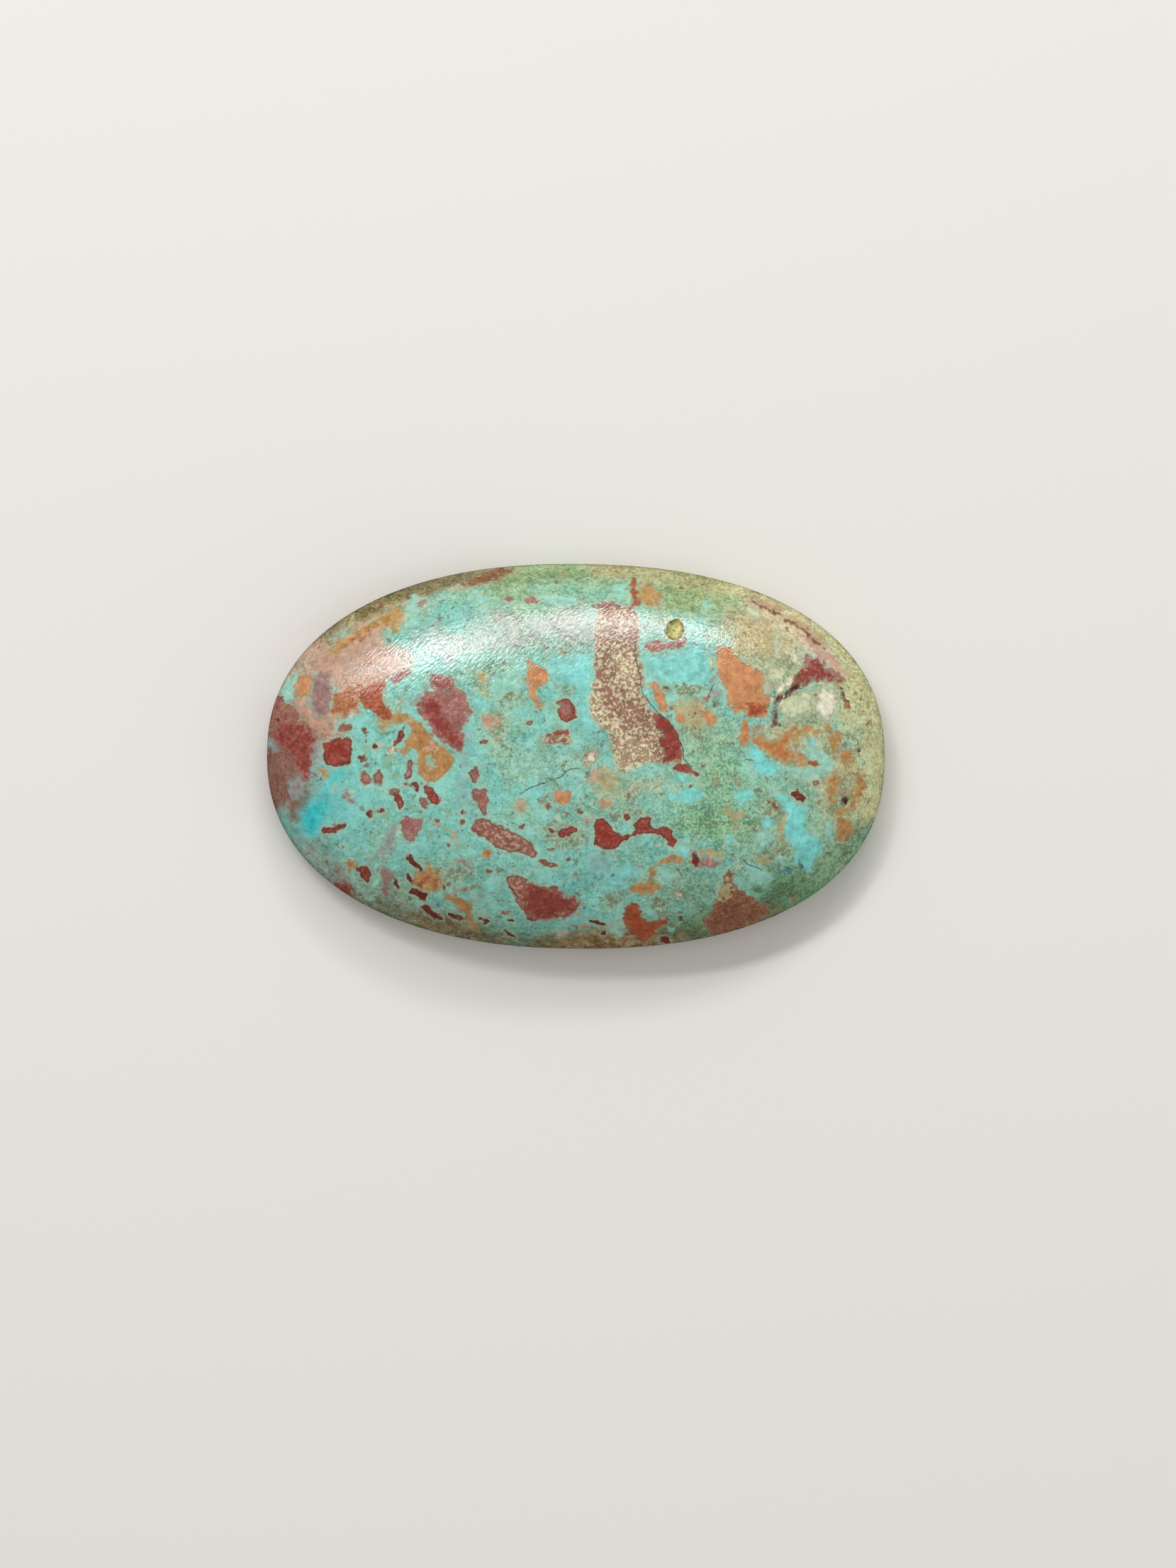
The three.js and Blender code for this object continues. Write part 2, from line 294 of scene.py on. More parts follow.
# Soft-edged markings, under the others
SOFT_MARKINGS = {
    "grit": [
        spot(-45, 17, 9, 13), spot(-36, 33, 8, 10), spot(-5, 36, 8, 5, 40), spot(8, 0, 9, 11),
        spot(-20, -24, 12, 8), spot(-5, -44, 26, 16), spot(30, -33, 22, 8), spot(-66, -66, 14, 10),
        spot(-85, -70, 16, 18), spot(22, -80, 12, 10), spot(48, -84, 14, 10, 120), spot(62, 38, 16, 8),
        spot(66, 15, 16, 8), spot(112, -30, 10, 16, 30), spot(118, -52, 12, 8), spot(118, 55, 14, 10),
        spot(128, 20, 14, 6), spot(145, 5, 14, 10), spot(150, -24, 12, 22),
    ],
    "deep cyan": [
        [(-155, -32), (-142, -25), (-138, -27), (-143, -36), (-144, -44), (-152, -46)],
        [(-132, -9), (-134, -16), (-139, -20), (-139, -25), (-142, -24), (-137, -15)],
    ],
    "cyan": [
        [(52, -12), (58, -9), (64, -10), (63, -14), (57, -14)],
        [(50, -22), (63, -17), (69, -17), (72, -21), (68, -25), (62, -26)],
        [(96, 3), (98, 6), (102, 7), (108, 0), (115, -5), (113, -9), (109, -11), (99, -8), (100, -3),
         (97, 0)],
        [(87, -20), (92, -18), (99, -17), (100, -21), (94, -27)],
        [(105, -34), (108, -32), (111, -34), (112, -38), (109, -40), (105, -39)],
        [(84, -45), (87, -43), (90, -46), (87, -50), (84, -49)],
        [(111, -21), (117, -20), (125, -26), (130, -26), (130, -36), (131, -40), (139, -47), (139, -54),
         (136, -57), (133, -65), (129, -64), (122, -57), (122, -50), (117, -43), (118, -31)],
        [(58, -52), (61, -50), (64, -50), (63, -54), (61, -56), (59, -54)],
        spot(133, 9, 6, 4.5), spot(55, -97.2, 3.5, 3.5),
    ],
    "sky": [
        [(37, 62), (40, 58), (48, 58), (59, 61), (61, 65), (69, 65), (74, 56), (76, 46), (72, 41), (62, 39),
         (49, 41), (40, 46)],
        [(-124, 15), (-121, 21), (-116, 19), (-112, 13), (-114, 6), (-123, 8)],
        [(-58, 33), (-54, 35), (-50, 31), (-45, 30), (-47, 26), (-56, 25)],
        [(-13, 51), (-6, 53), (1, 59), (6, 56), (9, 50), (9, 42), (5, 39), (-9, 44)],
        [(0, 34), (5, 33), (12, 17), (8, 14), (3, 20)],
        [(-26, -19), (-19, -19), (-16, -22), (-18, -26), (-24, -29), (-27, -25)],
        [(43, 55), (62, 63), (66, 59), (60, 55), (48, 52)],
        [(14, -75), (22, -63), (30, -60), (37, -64), (32, -69), (19, -76)],
        [(-10, -95), (-5, -92), (2, -91), (5, -93), (2, -95), (-4, -95), (-8, -98)],
        spot(-47.5, -73, 7, 6),
    ],
    "aqua": [
        [(-130, -50), (-126, -54), (-124, -66), (-119, -76), (-112, -80), (-114, -83), (-123, -78),
         (-128, -66)],
        [(-113, -60), (-109, -65), (-112, -76), (-116, -74), (-113, -66)],
        [(-49, 44), (-42, 46), (-33, 45), (-31, 39), (-36, 34), (-46, 34)],
        [(103, -40), (110, -41), (112, -47), (106, -50), (101, -46)],
        [(141, -37), (145, -35), (146, -42), (144, -46), (141, -43)],
        [(99, -51), (102, -50), (105, -51), (104, -54), (100, -54)],
        [(97, -58), (104, -60), (112, -66), (108, -72), (100, -70), (95, -64)],
        [(113, -55), (118, -54), (121, -57), (118, -60), (114, -59)],
        [(92, -71), (96, -69), (103, -68), (104, -70), (95, -73)],
        [(47, -62), (53, -62), (56, -66), (55, -70), (51, -72), (48, -68)],
        [(24, -80), (27, -81), (29, -88), (25, -96), (28, -100), (25, -102), (21, -98), (22, -87)],
        [(41, -86), (45, -86), (49, -88), (45, -90), (42, -89)],
        [(-95, 88), (-90, 89), (-89, 82), (-91, 75), (-94, 73)],
        [(126, 4), (136, 6), (142, 3), (146, -2), (145, -7), (135, -13), (120, -10), (120, -5), (130, -4)],
        [(-167, 33), (-165, 40), (-160, 45), (-156, 44), (-163, 29)],
        spot(-54, 88, 11, 6), spot(-9, 87, 16, 7), spot(24, 94, 9, 10), spot(73, 85, 6, 5),
    ],
    "tan": [
        [(100, 90), (116, 85), (130, 75), (141, 64), (138, 60), (126, 71), (112, 80), (99, 85)],
        [(-147, 48), (-143, 57), (-126, 72), (-116, 75), (-109, 79), (-102, 81), (-100, 74), (-108, 69),
         (-107, 63), (-93, 56), (-92, 49), (-96, 45), (-119, 36), (-121, 28), (-124, 23), (-138, 20),
         (-137, 35), (-142, 44)],
        spot(108.5, 40, 8, 3), spot(6.5, -36, 7, 4),
    ],
    "khaki": [
        [(105, 79), (109, 77), (110, 63), (107, 54), (104, 64)],
        [(89, 70), (94, 69), (96, 60), (93, 58), (90, 62)],
        [(53, 29), (59, 32), (66, 32), (76, 26), (78, 20), (74, 16), (68, 13), (54, 22)],
        [(108, -24), (112, -24), (115, -29), (119, -32), (118, -42), (119, -50), (115, -50), (113, -32),
         (109, -28)],
        [(81, -28), (86, -28), (94, -32), (92, -35), (89, -36), (86, -34)],
        [(13, -7), (19, -8), (23, -12), (21, -18), (17, -22), (12, -17)],
        [(102, -57), (105, -55), (109, -56), (110, -59), (106, -60), (102, -59)],
        [(69, -53), (78, -51), (82, -54), (81, -57), (73, -55), (70, -56)],
        [(-54, 47), (-50, 44), (-50, 36), (-53, 33)],
        spot(48.5, -83.5, 8, 5.5, 120),
    ],
    "ochre": [
        [(100, 13), (112, 12), (130, 19), (136, 17), (142, 21), (143, 15), (129, 13), (117, 5), (127, 4),
         (136, -2), (134, -5), (122, -4), (110, 0), (100, 8)],
        [(-111, 22), (-104, 24), (-97, 23), (-94, 20), (-104, 16), (-109, 12)],
        [(-106, 70), (-100, 70), (-98, 78), (-100, 83), (-105, 84), (-107, 76)],
        [(35, 86), (35, 95), (39, 99), (45, 95), (48, 90), (44, 86)],
    ],
    "pink": [
        [(124, 73), (132, 71), (149, 54), (151, 47), (144, 50), (135, 57), (129, 64)],
        spot(66.5, 53.5, 5, 3),
    ],
    "pale green": [
        [(95, 85), (102, 85), (104, 79), (99, 77)],
        [(112, 72), (115, 70), (115, 60), (112, 56), (110, 62)],
        [(-73, 93), (-68, 96), (-62, 96), (-64, 93)],
        spot(75.5, 53, 3, 10),
    ],
    "blue grey": [
        [(-63, 15), (-58, 15), (-61, -12), (-59, -23), (-61, -30), (-65, -29)],
        [(-176, 8), (-170, 6), (-167, 4), (-170, 3), (-176, 4)],
        spot(13, -59, 13, 10),
    ],
    "grey": [
        # The first grey marking is a painted shade band along the upper-left side of the rose mass
        [(-94, 28), (-90, 33), (-80, 42), (-79, 38), (-92, 26)],
        [(-147, 6), (-142, 6), (-141, -5), (-145, -5), (-148, -2)],
        [(-162, -16), (-156, -14), (-152, -17), (-155, -24), (-160, -25)],
        [(-103, -39), (-100, -41), (-102, -53), (-111, -58), (-115, -64), (-120, -63), (-110, -54)],
        [(75, 39), (79, 39), (82, 37), (82, 34), (79, 32), (75, 35)],
        spot(-156, -49, 7, 3, 160), spot(-148, -54, 7, 5), spot(-54, -80.5, 9, 2.5, 20),
    ],
}

# Mineral patches with clear edges
PATCHES = {
    "cuprite": [
        [(-141, 6), (-129, 9), (-126, 7), (-126, -3), (-128, -6), (-140, -6)],
        [(-102, 6), (-97, 15), (-96, 14), (-97, 8), (-101, 5)],
        [(-143, -43), (-141, -41), (-136, -41), (-130, -39), (-129, -41), (-137, -45), (-141, -45)],
        [(-117, -33), (-115, -31), (-113, -33), (-114, -36), (-116, -36)],
        [(-111, -32), (-108, -30), (-107, -32), (-109, -34)],
        [(-102, -23), (-100, -22), (-96, -25), (-96, -28), (-98, -31), (-100, -28)],
        [(-123, -65), (-119, -63), (-116, -64), (-115, -68), (-117, -72)],
        [(-96, -16), (-90, -16), (-88, -16), (-88, -21), (-91, -18), (-95, -18)],
        [(-85, -19), (-81, -18), (-75, -26), (-78, -28), (-82, -26)],
        [(-11, 30), (-4, 32), (1, 22), (-3, 20), (-6, 19), (-10, 22), (-11, 25), (-9, 28)],
        [(11, -38), (14, -35), (17, -36), (24, -43), (29, -44), (34, -42), (33, -38), (36, -36), (37, -30),
         (38, -34), (43, -34), (42, -36), (44, -40), (51, -39), (54, -42), (57, -49), (53, -50), (50, -45),
         (42, -43), (32, -45), (21, -52), (16, -52), (12, -50), (11, -45)],
        [(-14, -41), (-9, -42), (-4, -40), (0, -40), (2, -42), (-8, -46), (-10, -43), (-13, -43)],
        [(27, -34), (29, -32), (31, -34), (30, -36), (28, -36)],
    ],
    "brick": [
        [(121, 40), (124, 47), (129, 53), (134, 56), (146, 48), (150, 42), (136, 44), (125, 39)],
        [(-169, 19), (-155, 17), (-146, 9), (-148, 4), (-148, -10), (-150, -15), (-155, -12), (-162, 1),
         (-169, 5), (-171, 12)],
        [(-139, -74), (-133, -72), (-129, -72), (-125, -76), (-126, -82), (-134, -79)],
    ],
    "mauve": [
        [(-174, 29), (-167, 33), (-164, 28), (-159, 26), (-156, 21), (-158, 18), (-171, 14), (-176, 18)],
        [(-132, 17), (-127, 17), (-125, 14), (-127, 12), (-131, 12), (-133, 14)],
        [(-120, -11), (-118, -10), (-115, -13), (-115, -17), (-118, -18), (-120, -15)],
        [(-114, -12), (-110, -9), (-108, -12), (-109, -17), (-112, -16)],
        [(-105, -20), (-101, -19), (-99, -21), (-103, -23)],
        [(-93, -3), (-91, -4), (-92, -12), (-94, -14), (-96, -13)],
        [(-60, -10), (-56, -6), (-54, -6), (-54, -9), (-55, -14), (-57, -15), (-59, -12)],
        [(-58, -22), (-54, -19), (-50, -19), (-49, -23), (-49, -33), (-52, -32)],
        [(-87, -25), (-83, -24), (-82, -28), (-85, -30)],
        spot(-51.5, 7.5, 3.5, 3), spot(-63, -37, 2.2, 3.5), spot(-77.5, -37.5, 2.5, 1.5),
        spot(-71, -50, 2.2, 2.8), spot(-15, -28.5, 4, 3), spot(-29.5, -40, 3.5, 2.5),
        spot(135, -14, 3.5, 2.5), spot(-26, 18.5, 5, 2.2, 25),
    ],
    "rose": [
        [(129, 59), (133, 55), (145, 50), (151, 45), (151, 42), (147, 45), (130, 46)],
        [(-82, 44), (-76, 45), (-70, 43), (-66, 37), (-62, 34), (-60, 26), (-58, 24), (-64, 14), (-63, 10),
         (-65, 2), (-78, 11), (-85, 20), (-89, 28), (-85, 31), (-85, 35), (-81, 36)],
        [(-105, 40), (-102, 45), (-96, 48), (-93, 46), (-101, 40)],
        [(39, 64), (55, 65), (62, 69), (59, 61), (52, 61), (42, 58)],
        [(-97, -36), (-93, -35), (-85, -38), (-92, -49), (-95, -47), (-98, -40)],
        [(9, 85), (14, 87), (19, 87), (23, 85), (20, 83), (12, 83)],
        [(-29, 87), (-26, 90), (-23, 89), (-23, 86), (-27, 86)],
        [(71, 33), (73, 35), (75, 35), (75, 33), (73, 31)],
        [(66, -51), (67, -51), (69, -57), (72, -57), (74, -55), (81, -59), (78, -61), (66, -61)],
        spot(-38, 88, 5, 2.5),
    ],
    "plum": [
        [(-110, -65), (-105, -64), (-102, -68), (-104, -72), (-104, -79), (-108, -79), (-108, -71)],
        [(-149, 39), (-145, 46), (-140, 45), (-138, 37), (-138, 25), (-141, 21), (-146, 22), (-149, 28)],
        [(-130, -21), (-128, -21), (-124, -27), (-126, -27)],
        [(-65, -59), (-61, -59), (-59, -61), (-58, -65)],
        [(-135, -62), (-132, -62), (-132, -67), (-134, -68)],
        [(-90, 84), (-88, 87), (-85, 87), (-85, 85), (-88, 83)],
        spot(-61.5, -75.5, 5.5, 1.5, -10),
    ],
    "tan": [
        [(-158, 31), (-151, 31), (-148, 22), (-145, 19), (-140, 20), (-138, 17), (-144, 14), (-153, 20),
         (-157, 24)],
        [(-53, 21), (-48, 22), (-44, 20), (-46, 17), (-51, 16)],
        [(9, -9), (12, -8), (12, -12), (11, -15), (9, -13)],
        spot(-30, -28, 3.5, 6), spot(-68, -46, 1.5, 3.2),
    ],
    "rust": [
        [(-157, 42), (-153, 45), (-149, 43), (-149, 35), (-151, 33), (-159, 32)],
        [(-28, 52), (-26, 54), (-24, 51), (-17, 49), (-16, 43), (-18, 40), (-22, 38), (-22, 33), (-18, 29),
         (-21, 27), (-26, 35)],
        [(42, 42), (45, 41), (51, 29), (48, 26), (41, 39)],
        [(78, 58), (79, 62), (83, 63), (87, 61), (92, 55), (99, 51), (105, 46), (105, 38), (108, 34),
         (108, 27), (103, 22), (88, 28), (84, 34), (84, 38), (80, 45)],
        [(68, 28), (77, 24), (78, 20), (76, 17), (74, 18), (73, 21), (69, 25)],
        [(55, 25), (58, 25), (60, 22), (58, 19), (56, 20)],
        [(13, -25), (15, -24), (20, -27), (18, -29), (15, -28)],
        [(-13, -21), (-9, -20), (-4, -20), (-2, -22), (-3, -25), (-7, -27), (-11, -25)],
        spot(6, -96, 3.5, 2.5), spot(104, -56, 2.5, 2),
    ],
    "amber": [
        [(56, -54), (61, -59), (54, -59), (46, -62), (45, -70), (48, -72), (47, -75), (39, -78), (31, -75),
         (33, -72), (41, -70), (41, -65), (46, -60)],
        [(-73, -80), (-70, -79), (-58, -83), (-57, -87), (-58, -91), (-53, -97), (-56, -98), (-61, -93),
         (-62, -89)],
        [(-100, 23), (-88, 19), (-79, 8), (-74, 5), (-68, -2), (-69, -6), (-74, -12), (-78, -15),
         (-84, -15), (-89, -6), (-88, 0), (-90, 3), (-93, 3), (-96, -2), (-98, 1), (-95, 7), (-93, 16),
         (-103, 19)],
    ],
    "orange": [
        [(93, 20), (96, 20), (98, 15), (97, 10), (95, 8), (92, 8)],
        [(100, 11), (109, 8), (113, 9), (122, 17), (124, 16), (117, 6), (125, 3), (126, 1), (120, 1),
         (116, -1), (110, 1), (100, 9)],
        [(-52, -55), (-49, -53), (-46, -55), (-49, -58)],
    ],
    "red rust": [
        [(-122, 36), (-114, 40), (-108, 41), (-106, 37), (-109, 33), (-103, 22), (-108, 20), (-113, 24),
         (-120, 27)],
        [(28, 84), (31, 86), (30, 98), (32, 100), (34, 92), (34, 84)],
        [(30, -83), (35, -83), (41, -92), (52, -91), (52, -94), (46, -98), (42, -104), (37, -104),
         (28, -94)],
        [(130, -1), (134, -1), (137, -3), (134, -5), (131, -4)],
        spot(-39, -87.5, 4, 2.2),
    ],
    "ochre": [
        [(-139, 56), (-134, 64), (-104, 80), (-102, 75), (-122, 66), (-130, 61), (-135, 55)],
        [(143, -10), (148, -9), (147, -22), (143, -25)],
        [(148, -34), (153, -33), (156, -37), (157, -42), (153, -46), (148, -45), (147, -40)],
        [(144, 15), (149, 15), (150, 12), (147, 5), (144, 5), (143, 10)],
        [(-89, -69), (-84, -64), (-80, -62), (-75, -67), (-74, -73), (-78, -78), (-89, -74)],
        [(-143, -8), (-140, -9), (-140, -12), (-142, -13)],
        [(-129, -61), (-126, -60), (-123, -61), (-124, -64), (-127, -65)],
        [(129, 18), (133, 16), (138, 16), (142, 20), (140, 14), (131, 14)],
        [(147, 3), (157, 5), (154, -4), (147, -1)],
        [(159, -9), (163, -10), (164, -16), (159, -25), (153, -30), (146, -32), (144, -30), (152, -28),
         (157, -17)],
    ],
    "brown": [
        spot(65, 23, 3.5, 1.8, 30),
        [(-63, 98), (-54, 101), (-49, 105), (-38, 106), (-38, 104), (-56, 96)],
        [(97, 89), (113, 82), (125, 75), (134, 68), (140, 61), (123, 75)],
        spot(110.5, -26.5, 7, 1.5, -45),
        [(121, 40), (123, 47), (128, 50), (130, 46), (126, 40)],
        [(-120, 14), (-118, 14), (-116, 10), (-118, 9)],
        spot(-120, -2.8, 3.5, 1.4), spot(-47.5, -65.5, 3.5, 1.6), spot(3, -31, 3.5, 3),
        spot(-12, -56.5, 2.5, 1.5), spot(-4, -58, 2.5, 1.5), spot(-13, -52, 4, 1.5),
    ],
    "maroon": [
        [(-93, -55), (-91, -56), (-90, -60), (-85, -63), (-86, -66), (-94, -59)],
        [(-94, -67), (-92, -68), (-91, -71), (-92, -72), (-94, -70)],
        [(-92, -76), (-89, -75), (-83, -78), (-83, -80), (-85, -82), (-92, -78)],
        [(-86, -85), (-83, -85), (-74, -92), (-77, -93), (-84, -89)],
        [(-71, -89), (-64, -90), (-63, -93), (-66, -93), (-69, -92)],
        [(-55, -91), (-48, -92), (-50, -95), (-52, -93)],
        [(-102, -72), (-100, -71), (-98, -75), (-99, -76), (-101, -74)],
        [(121, -20), (124, -18), (126, -19), (129, -22), (128, -25), (123, -22)],
        [(10, -92), (18, -94), (22, -96), (10, -94)],
        [(15, -98), (18, -98), (18, -101), (16, -101)],
        [(48, -102), (54, -102), (53, -105), (48, -104)],
        spot(-112, 4.5, 3.2, 3.4), spot(-62.5, -32, 3, 1.8), spot(-36, -93, 4, 1.4),
        spot(-36, -101, 8, 1.5, -32), spot(-73, -75.5, 1.5, 4),
    ],
    "speckle": [
        [(12, 82), (10, 40), (8, 30), (10, 20), (19, 12), (23, -5), (25, -9), (31, -7), (31, -2), (55, -4),
         (60, 0), (57, 13), (49, 22), (41, 27), (40, 32), (36, 37), (38, 42), (35, 58), (33, 82)],
        [(-17, 10), (-9, 15), (-4, 14), (-2, 12), (-4, 6), (-8, 7), (-15, 6)],
    ],
    "pink speckle": [
        [(-36, -67), (-29, -68), (-25, -72), (-10, -74), (-7, -79), (2, -81), (2, -86), (-6, -91),
         (-15, -91), (-23, -93), (-29, -87), (-37, -72)],
        [(-58, -40), (-50, -36), (-25, -48), (-23, -50), (-22, -57), (-29, -55), (-40, -53), (-55, -44)],
        [(-20, -58), (-10, -61), (-12, -62), (-18, -61)],
    ],
    "quartz": [
        [(136, 36), (140, 40), (145, 37), (148, 31), (142, 22), (136, 25), (134, 30)],
    ],
    "cream": [
        [(-105, 0), (-104, 4), (-101, 5), (-100, 2), (-104, -1)],
        [(7, 3), (11, 3), (12, 0), (11, -3), (7, -5), (5, -4)],
        [(56, -79), (57, -76), (59, -75), (61, -76), (61, -79)],
    ],
    "dark teal": [
        [(113, -65), (115, -62), (124, -62), (117, -65)],
        [(-77, -84), (-75, -85), (-76, -86), (-78, -85)],
        spot(127.5, -60.5, 2, 4.5), spot(22, -66, 2.5, 2.5), spot(-134, -51, 3.5, 1.2, 20),
        spot(-77, -59.5, 2.2, 1.2),
    ],
    "dark green": [
        [(100, -74), (102, -73), (105, -74), (105, -76), (102, -76)],
        spot(56.5, 40.5, 1.5, 1.2), spot(59, 40, 1.5, 1.2), spot(63.5, 35, 2, 1.5),
        spot(64, -63.5, 2, 2),
    ],
    "sienna": [
        [(-128, 66), (-117, 73), (-106, 77), (-124, 63)],
        [(-133, 36), (-126, 40), (-114, 43), (-109, 42), (-120, 35), (-126, 26), (-135, 31)],
        [(-137, 34), (-130, 35), (-122, 33), (-122, 25), (-127, 22), (-136, 22)],
    ],
    "pale green": [
        [(105, 47), (109, 51), (115, 51), (118, 49), (115, 44), (109, 43)],
        [(114, 33), (120, 36), (129, 38), (133, 33), (132, 26), (125, 23), (118, 22), (114, 28)],
    ],
    "chalk": [
        [(116, 63), (119, 62), (126, 54), (124, 53), (117, 60)],
        [(121, 47), (121, 42), (116, 39), (111, 31), (110, 34), (118, 45)],
        [(116, 83), (119, 82), (121, 80), (118, 80), (116, 81)],
    ],
    "chestnut": [
        [(84, -66), (89, -65), (91, -72), (109, -85), (108, -90), (90, -100), (80, -101), (75, -97),
         (73, -91), (78, -85)],
    ],
}

# Details that lie on the patches
DETAILS = {
    "brick": [
        [(-88, 27), (-84, 33), (-77, 31), (-74, 22), (-65, 12), (-65, 2), (-78, 12)],
    ],
    "liver": [
        [(-25, -72), (-9, -76), (2, -82), (1, -86), (-9, -91), (-23, -92), (-29, -80)],
    ],
    "cuprite": [
        [(43, 23), (48, 23), (53, 19), (57, 13), (60, 1), (56, -2), (48, -3), (50, 1), (46, 9), (49, 12),
         (45, 17)],
        [(60, -3), (69, -10), (55, -7), (56, -5)],
        [(-16, 11), (-9, 14), (-4, 14), (-5, 12)],
    ],
    "mauve": [
        [(-80, 43), (-72, 43), (-67, 37), (-74, 36), (-80, 38)],
        [(-9, 29), (-4, 28), (-3, 25), (-5, 23), (-8, 25)],
    ],
    "host": [
        [(-84, -4), (-82, -1), (-79, -1), (-78, -5), (-80, -8), (-83, -7)],
    ],
    "pink": [
        [(-81, 5), (-79, 5), (-78, 1), (-80, 1), (-82, 3)],
        [(-10, -100), (-5, -98), (-4, -99), (-6, -101), (-9, -102)],
        spot(77, -57.5, 3, 1.5),
    ],
    "maroon": [
        [(66, -51), (67, -51), (70, -58), (69, -61), (66, -61)],
        spot(-169, 19, 3, 2.5),
    ],
    "red rust": [
        [(-88, -73), (-84, -68), (-81, -69), (-83, -73), (-86, -75)],
        [(-80, -76), (-78, -70), (-76, -72), (-78, -76)],
        [(95, 30), (99, 31), (107, 29), (107, 26), (100, 22), (95, 27)],
        [(151, 34), (155, 29), (152, 28), (151, 30)],
    ],
    "orange": [
        [(86, 30), (92, 31), (95, 29), (92, 25), (88, 27)],
    ],
    "brown": [
        spot(50.5, 38.5, 4.5, 1.8), spot(-163, 25.5, 6, 2, -10), spot(-159.5, 21.5, 3.5, 1.5, -15),
    ],
    "pale speckle": [
        [(23, 56), (31, 54), (33, 42), (32, 35), (26, 38), (22, 46)],
        [(22, 12), (32, 11), (42, 5), (43, -2), (27, -7), (23, -2)],
        [(9, 40), (13, 38), (15, 26), (22, 16), (19, 13), (11, 21), (8, 30)],
    ],
    "khaki": [
        [(82, -71), (86, -70), (89, -74), (87, -79), (81, -79)],
    ],
    "lichen": [
        spot(55, 71.5, 13, 9.5, 70),
    ],
    "hole": [
        [(110, 18), (111, 23), (111, 28), (113, 27), (113, 21), (115, 18), (112, 17)],
        [(112, 30), (114, 35), (125, 41), (131, 43)],
        [(147, 44), (155, 29), (150, 34), (148, 39)],
        [(76, 32), (79, 31), (80, 30), (77, 29)],
        spot(152, -24, 4, 3, 80), spot(159.5, 4.7, 3, 2, 40), spot(-143.5, -13.8, 1.8, 1.8),
        spot(60, -90.5, 2, 2),
    ],
}

# Hairline cracks and dark lines, from end to end
CRACKS = [
    [(-30, -21), (-26, -18.5), (-20, -16), (-17, -15.5), (-14, -13.5), (-11, -13), (-7.5, -11.5),
     (-5, -8.5), (-2, -7.2), (1.5, -7)],
    [(-16, -12.5), (-12, -14), (-10, -16), (-9, -18.5)],
    [(95, -57.5), (96.5, -59.5), (99, -60.5), (103.5, -62), (105, -63)],
    [(33, 63), (32.5, 57), (34.5, 50), (36, 42), (37, 36), (41, 30), (46, 24.5), (51, 20.5), (55, 15),
     (58, 9), (60, 5), (60.5, -1), (65, -6)],
    [(57, -61.5), (59, -64), (60, -66)],
    [(76.5, 40), (74.5, 35)],
    [(45, 20), (48, 21)],
    [(48, 13), (51, 15), (54, 15)],
    [(47, 9), (50, 9)],
    [(52, 8), (55, 10), (57, 10)],
    [(49, 3), (53, 6)],
    [(55, 3), (58, 6)],
    [(51, -1), (54, 1)],
    [(65.5, 17.5), (67, 16)],
    [(96, -1.2), (99, -1.5)],
]

# Layers of markings from the lowest up: the name, the markings, how opaque they are, and how strong
# their rims and halos are
Layer = namedtuple("Layer", "name groups opacity rimmed")
LAYERS = [
    Layer("soft", SOFT_MARKINGS, 0.85, 1.0),
    Layer("patch", PATCHES, 1.0, 1.0),
    Layer("detail", DETAILS, 1.0, 0.25),
]

# How far beyond its outline a marking is worked out, and a depth that no marking reaches
HALO_REACH = 0.5
FAR = 9.0

# The pale halo round a marking, from where it starts to where it is full
HALO_TONE = (176, 194, 164)
HALO_FADE = (-0.26, -0.02)
HALO_STRENGTH = 0.6

# The dark rim inside a marking's edge, weaker where the crystals' noise is high
RIM_TONE = (70, 40, 34)
RIM_FADE = (0.18, 0.05)
RIM_BREAKS = (-0.12, 0.12)
RIM_LEFT = 0.4

# How strongly grain mixes a marking's two colours, and how the core colour grows from the edge inwards
GRAIN_GAIN = 5.0
CORE_DEPTH = 0.3
CORE_PULL = 0.4
MARKING_SHADE = 1.9

# The grainiest kinds are speckled: both colours all over, with a dark line between them
SPECKLED_GRAIN = (0.65, 0.8)
SPECKLED_PULL = -0.05
OUTLINE_TONE = (104, 76, 58)
OUTLINE_FADE = (0.35, 0.05)
OUTLINE_OPACITY = 0.75

# Pale flecks on the markings that have a rim
FLECK_TONE = (192, 142, 124)
FLECK_LEVELS = (0.08, 0.16)
FLECK_OPACITY = 0.5

# The line of a crack, and how far from the crack it may wander
CRACK_TONE = (70, 74, 62)
CRACK_FADE = (0.05, 0.02)
CRACK_WOBBLE = 0.15
CRACK_REACH = (0.14, 0.08)
CRACK_OPACITY = 0.75

# How strongly each noise mixes the ground's two tones, with more of the fine one where the ground is grainy
CLOUD_STRENGTH = 2.4
MOTTLE_STRENGTH = 2.0
FINE_STRENGTH = 2.0
FINE_GRAIN_STRENGTH = 3.4
GROUND_SHADE = 1.6

# Tones that cover part of the ground: the colour, how soft the cover's edge is, and its opacity
Cover = namedtuple("Cover", "tone soft opacity")
SAGE = Cover((138, 174, 142), 0.14, 0.75)
EARTH = Cover((184, 170, 132), 0.12, 0.7)
PALE_GRAINS = Cover((204, 212, 178), 0.12, 0.6)
DARK_GRAINS = Cover((84, 112, 86), 0.12, 0.6)
SPECKS = Cover((104, 100, 72), 0.1, 0.6)
GRAIN_SHARE = 0.3
SPECK_SHARE = 0.4
SPECK_CLOUDS = -0.5

# A cover reaches all of the ground where its noise is above a level, which a larger share brings nearer
COVER_LEVEL = 0.18
COVER_LIFT = 0.4

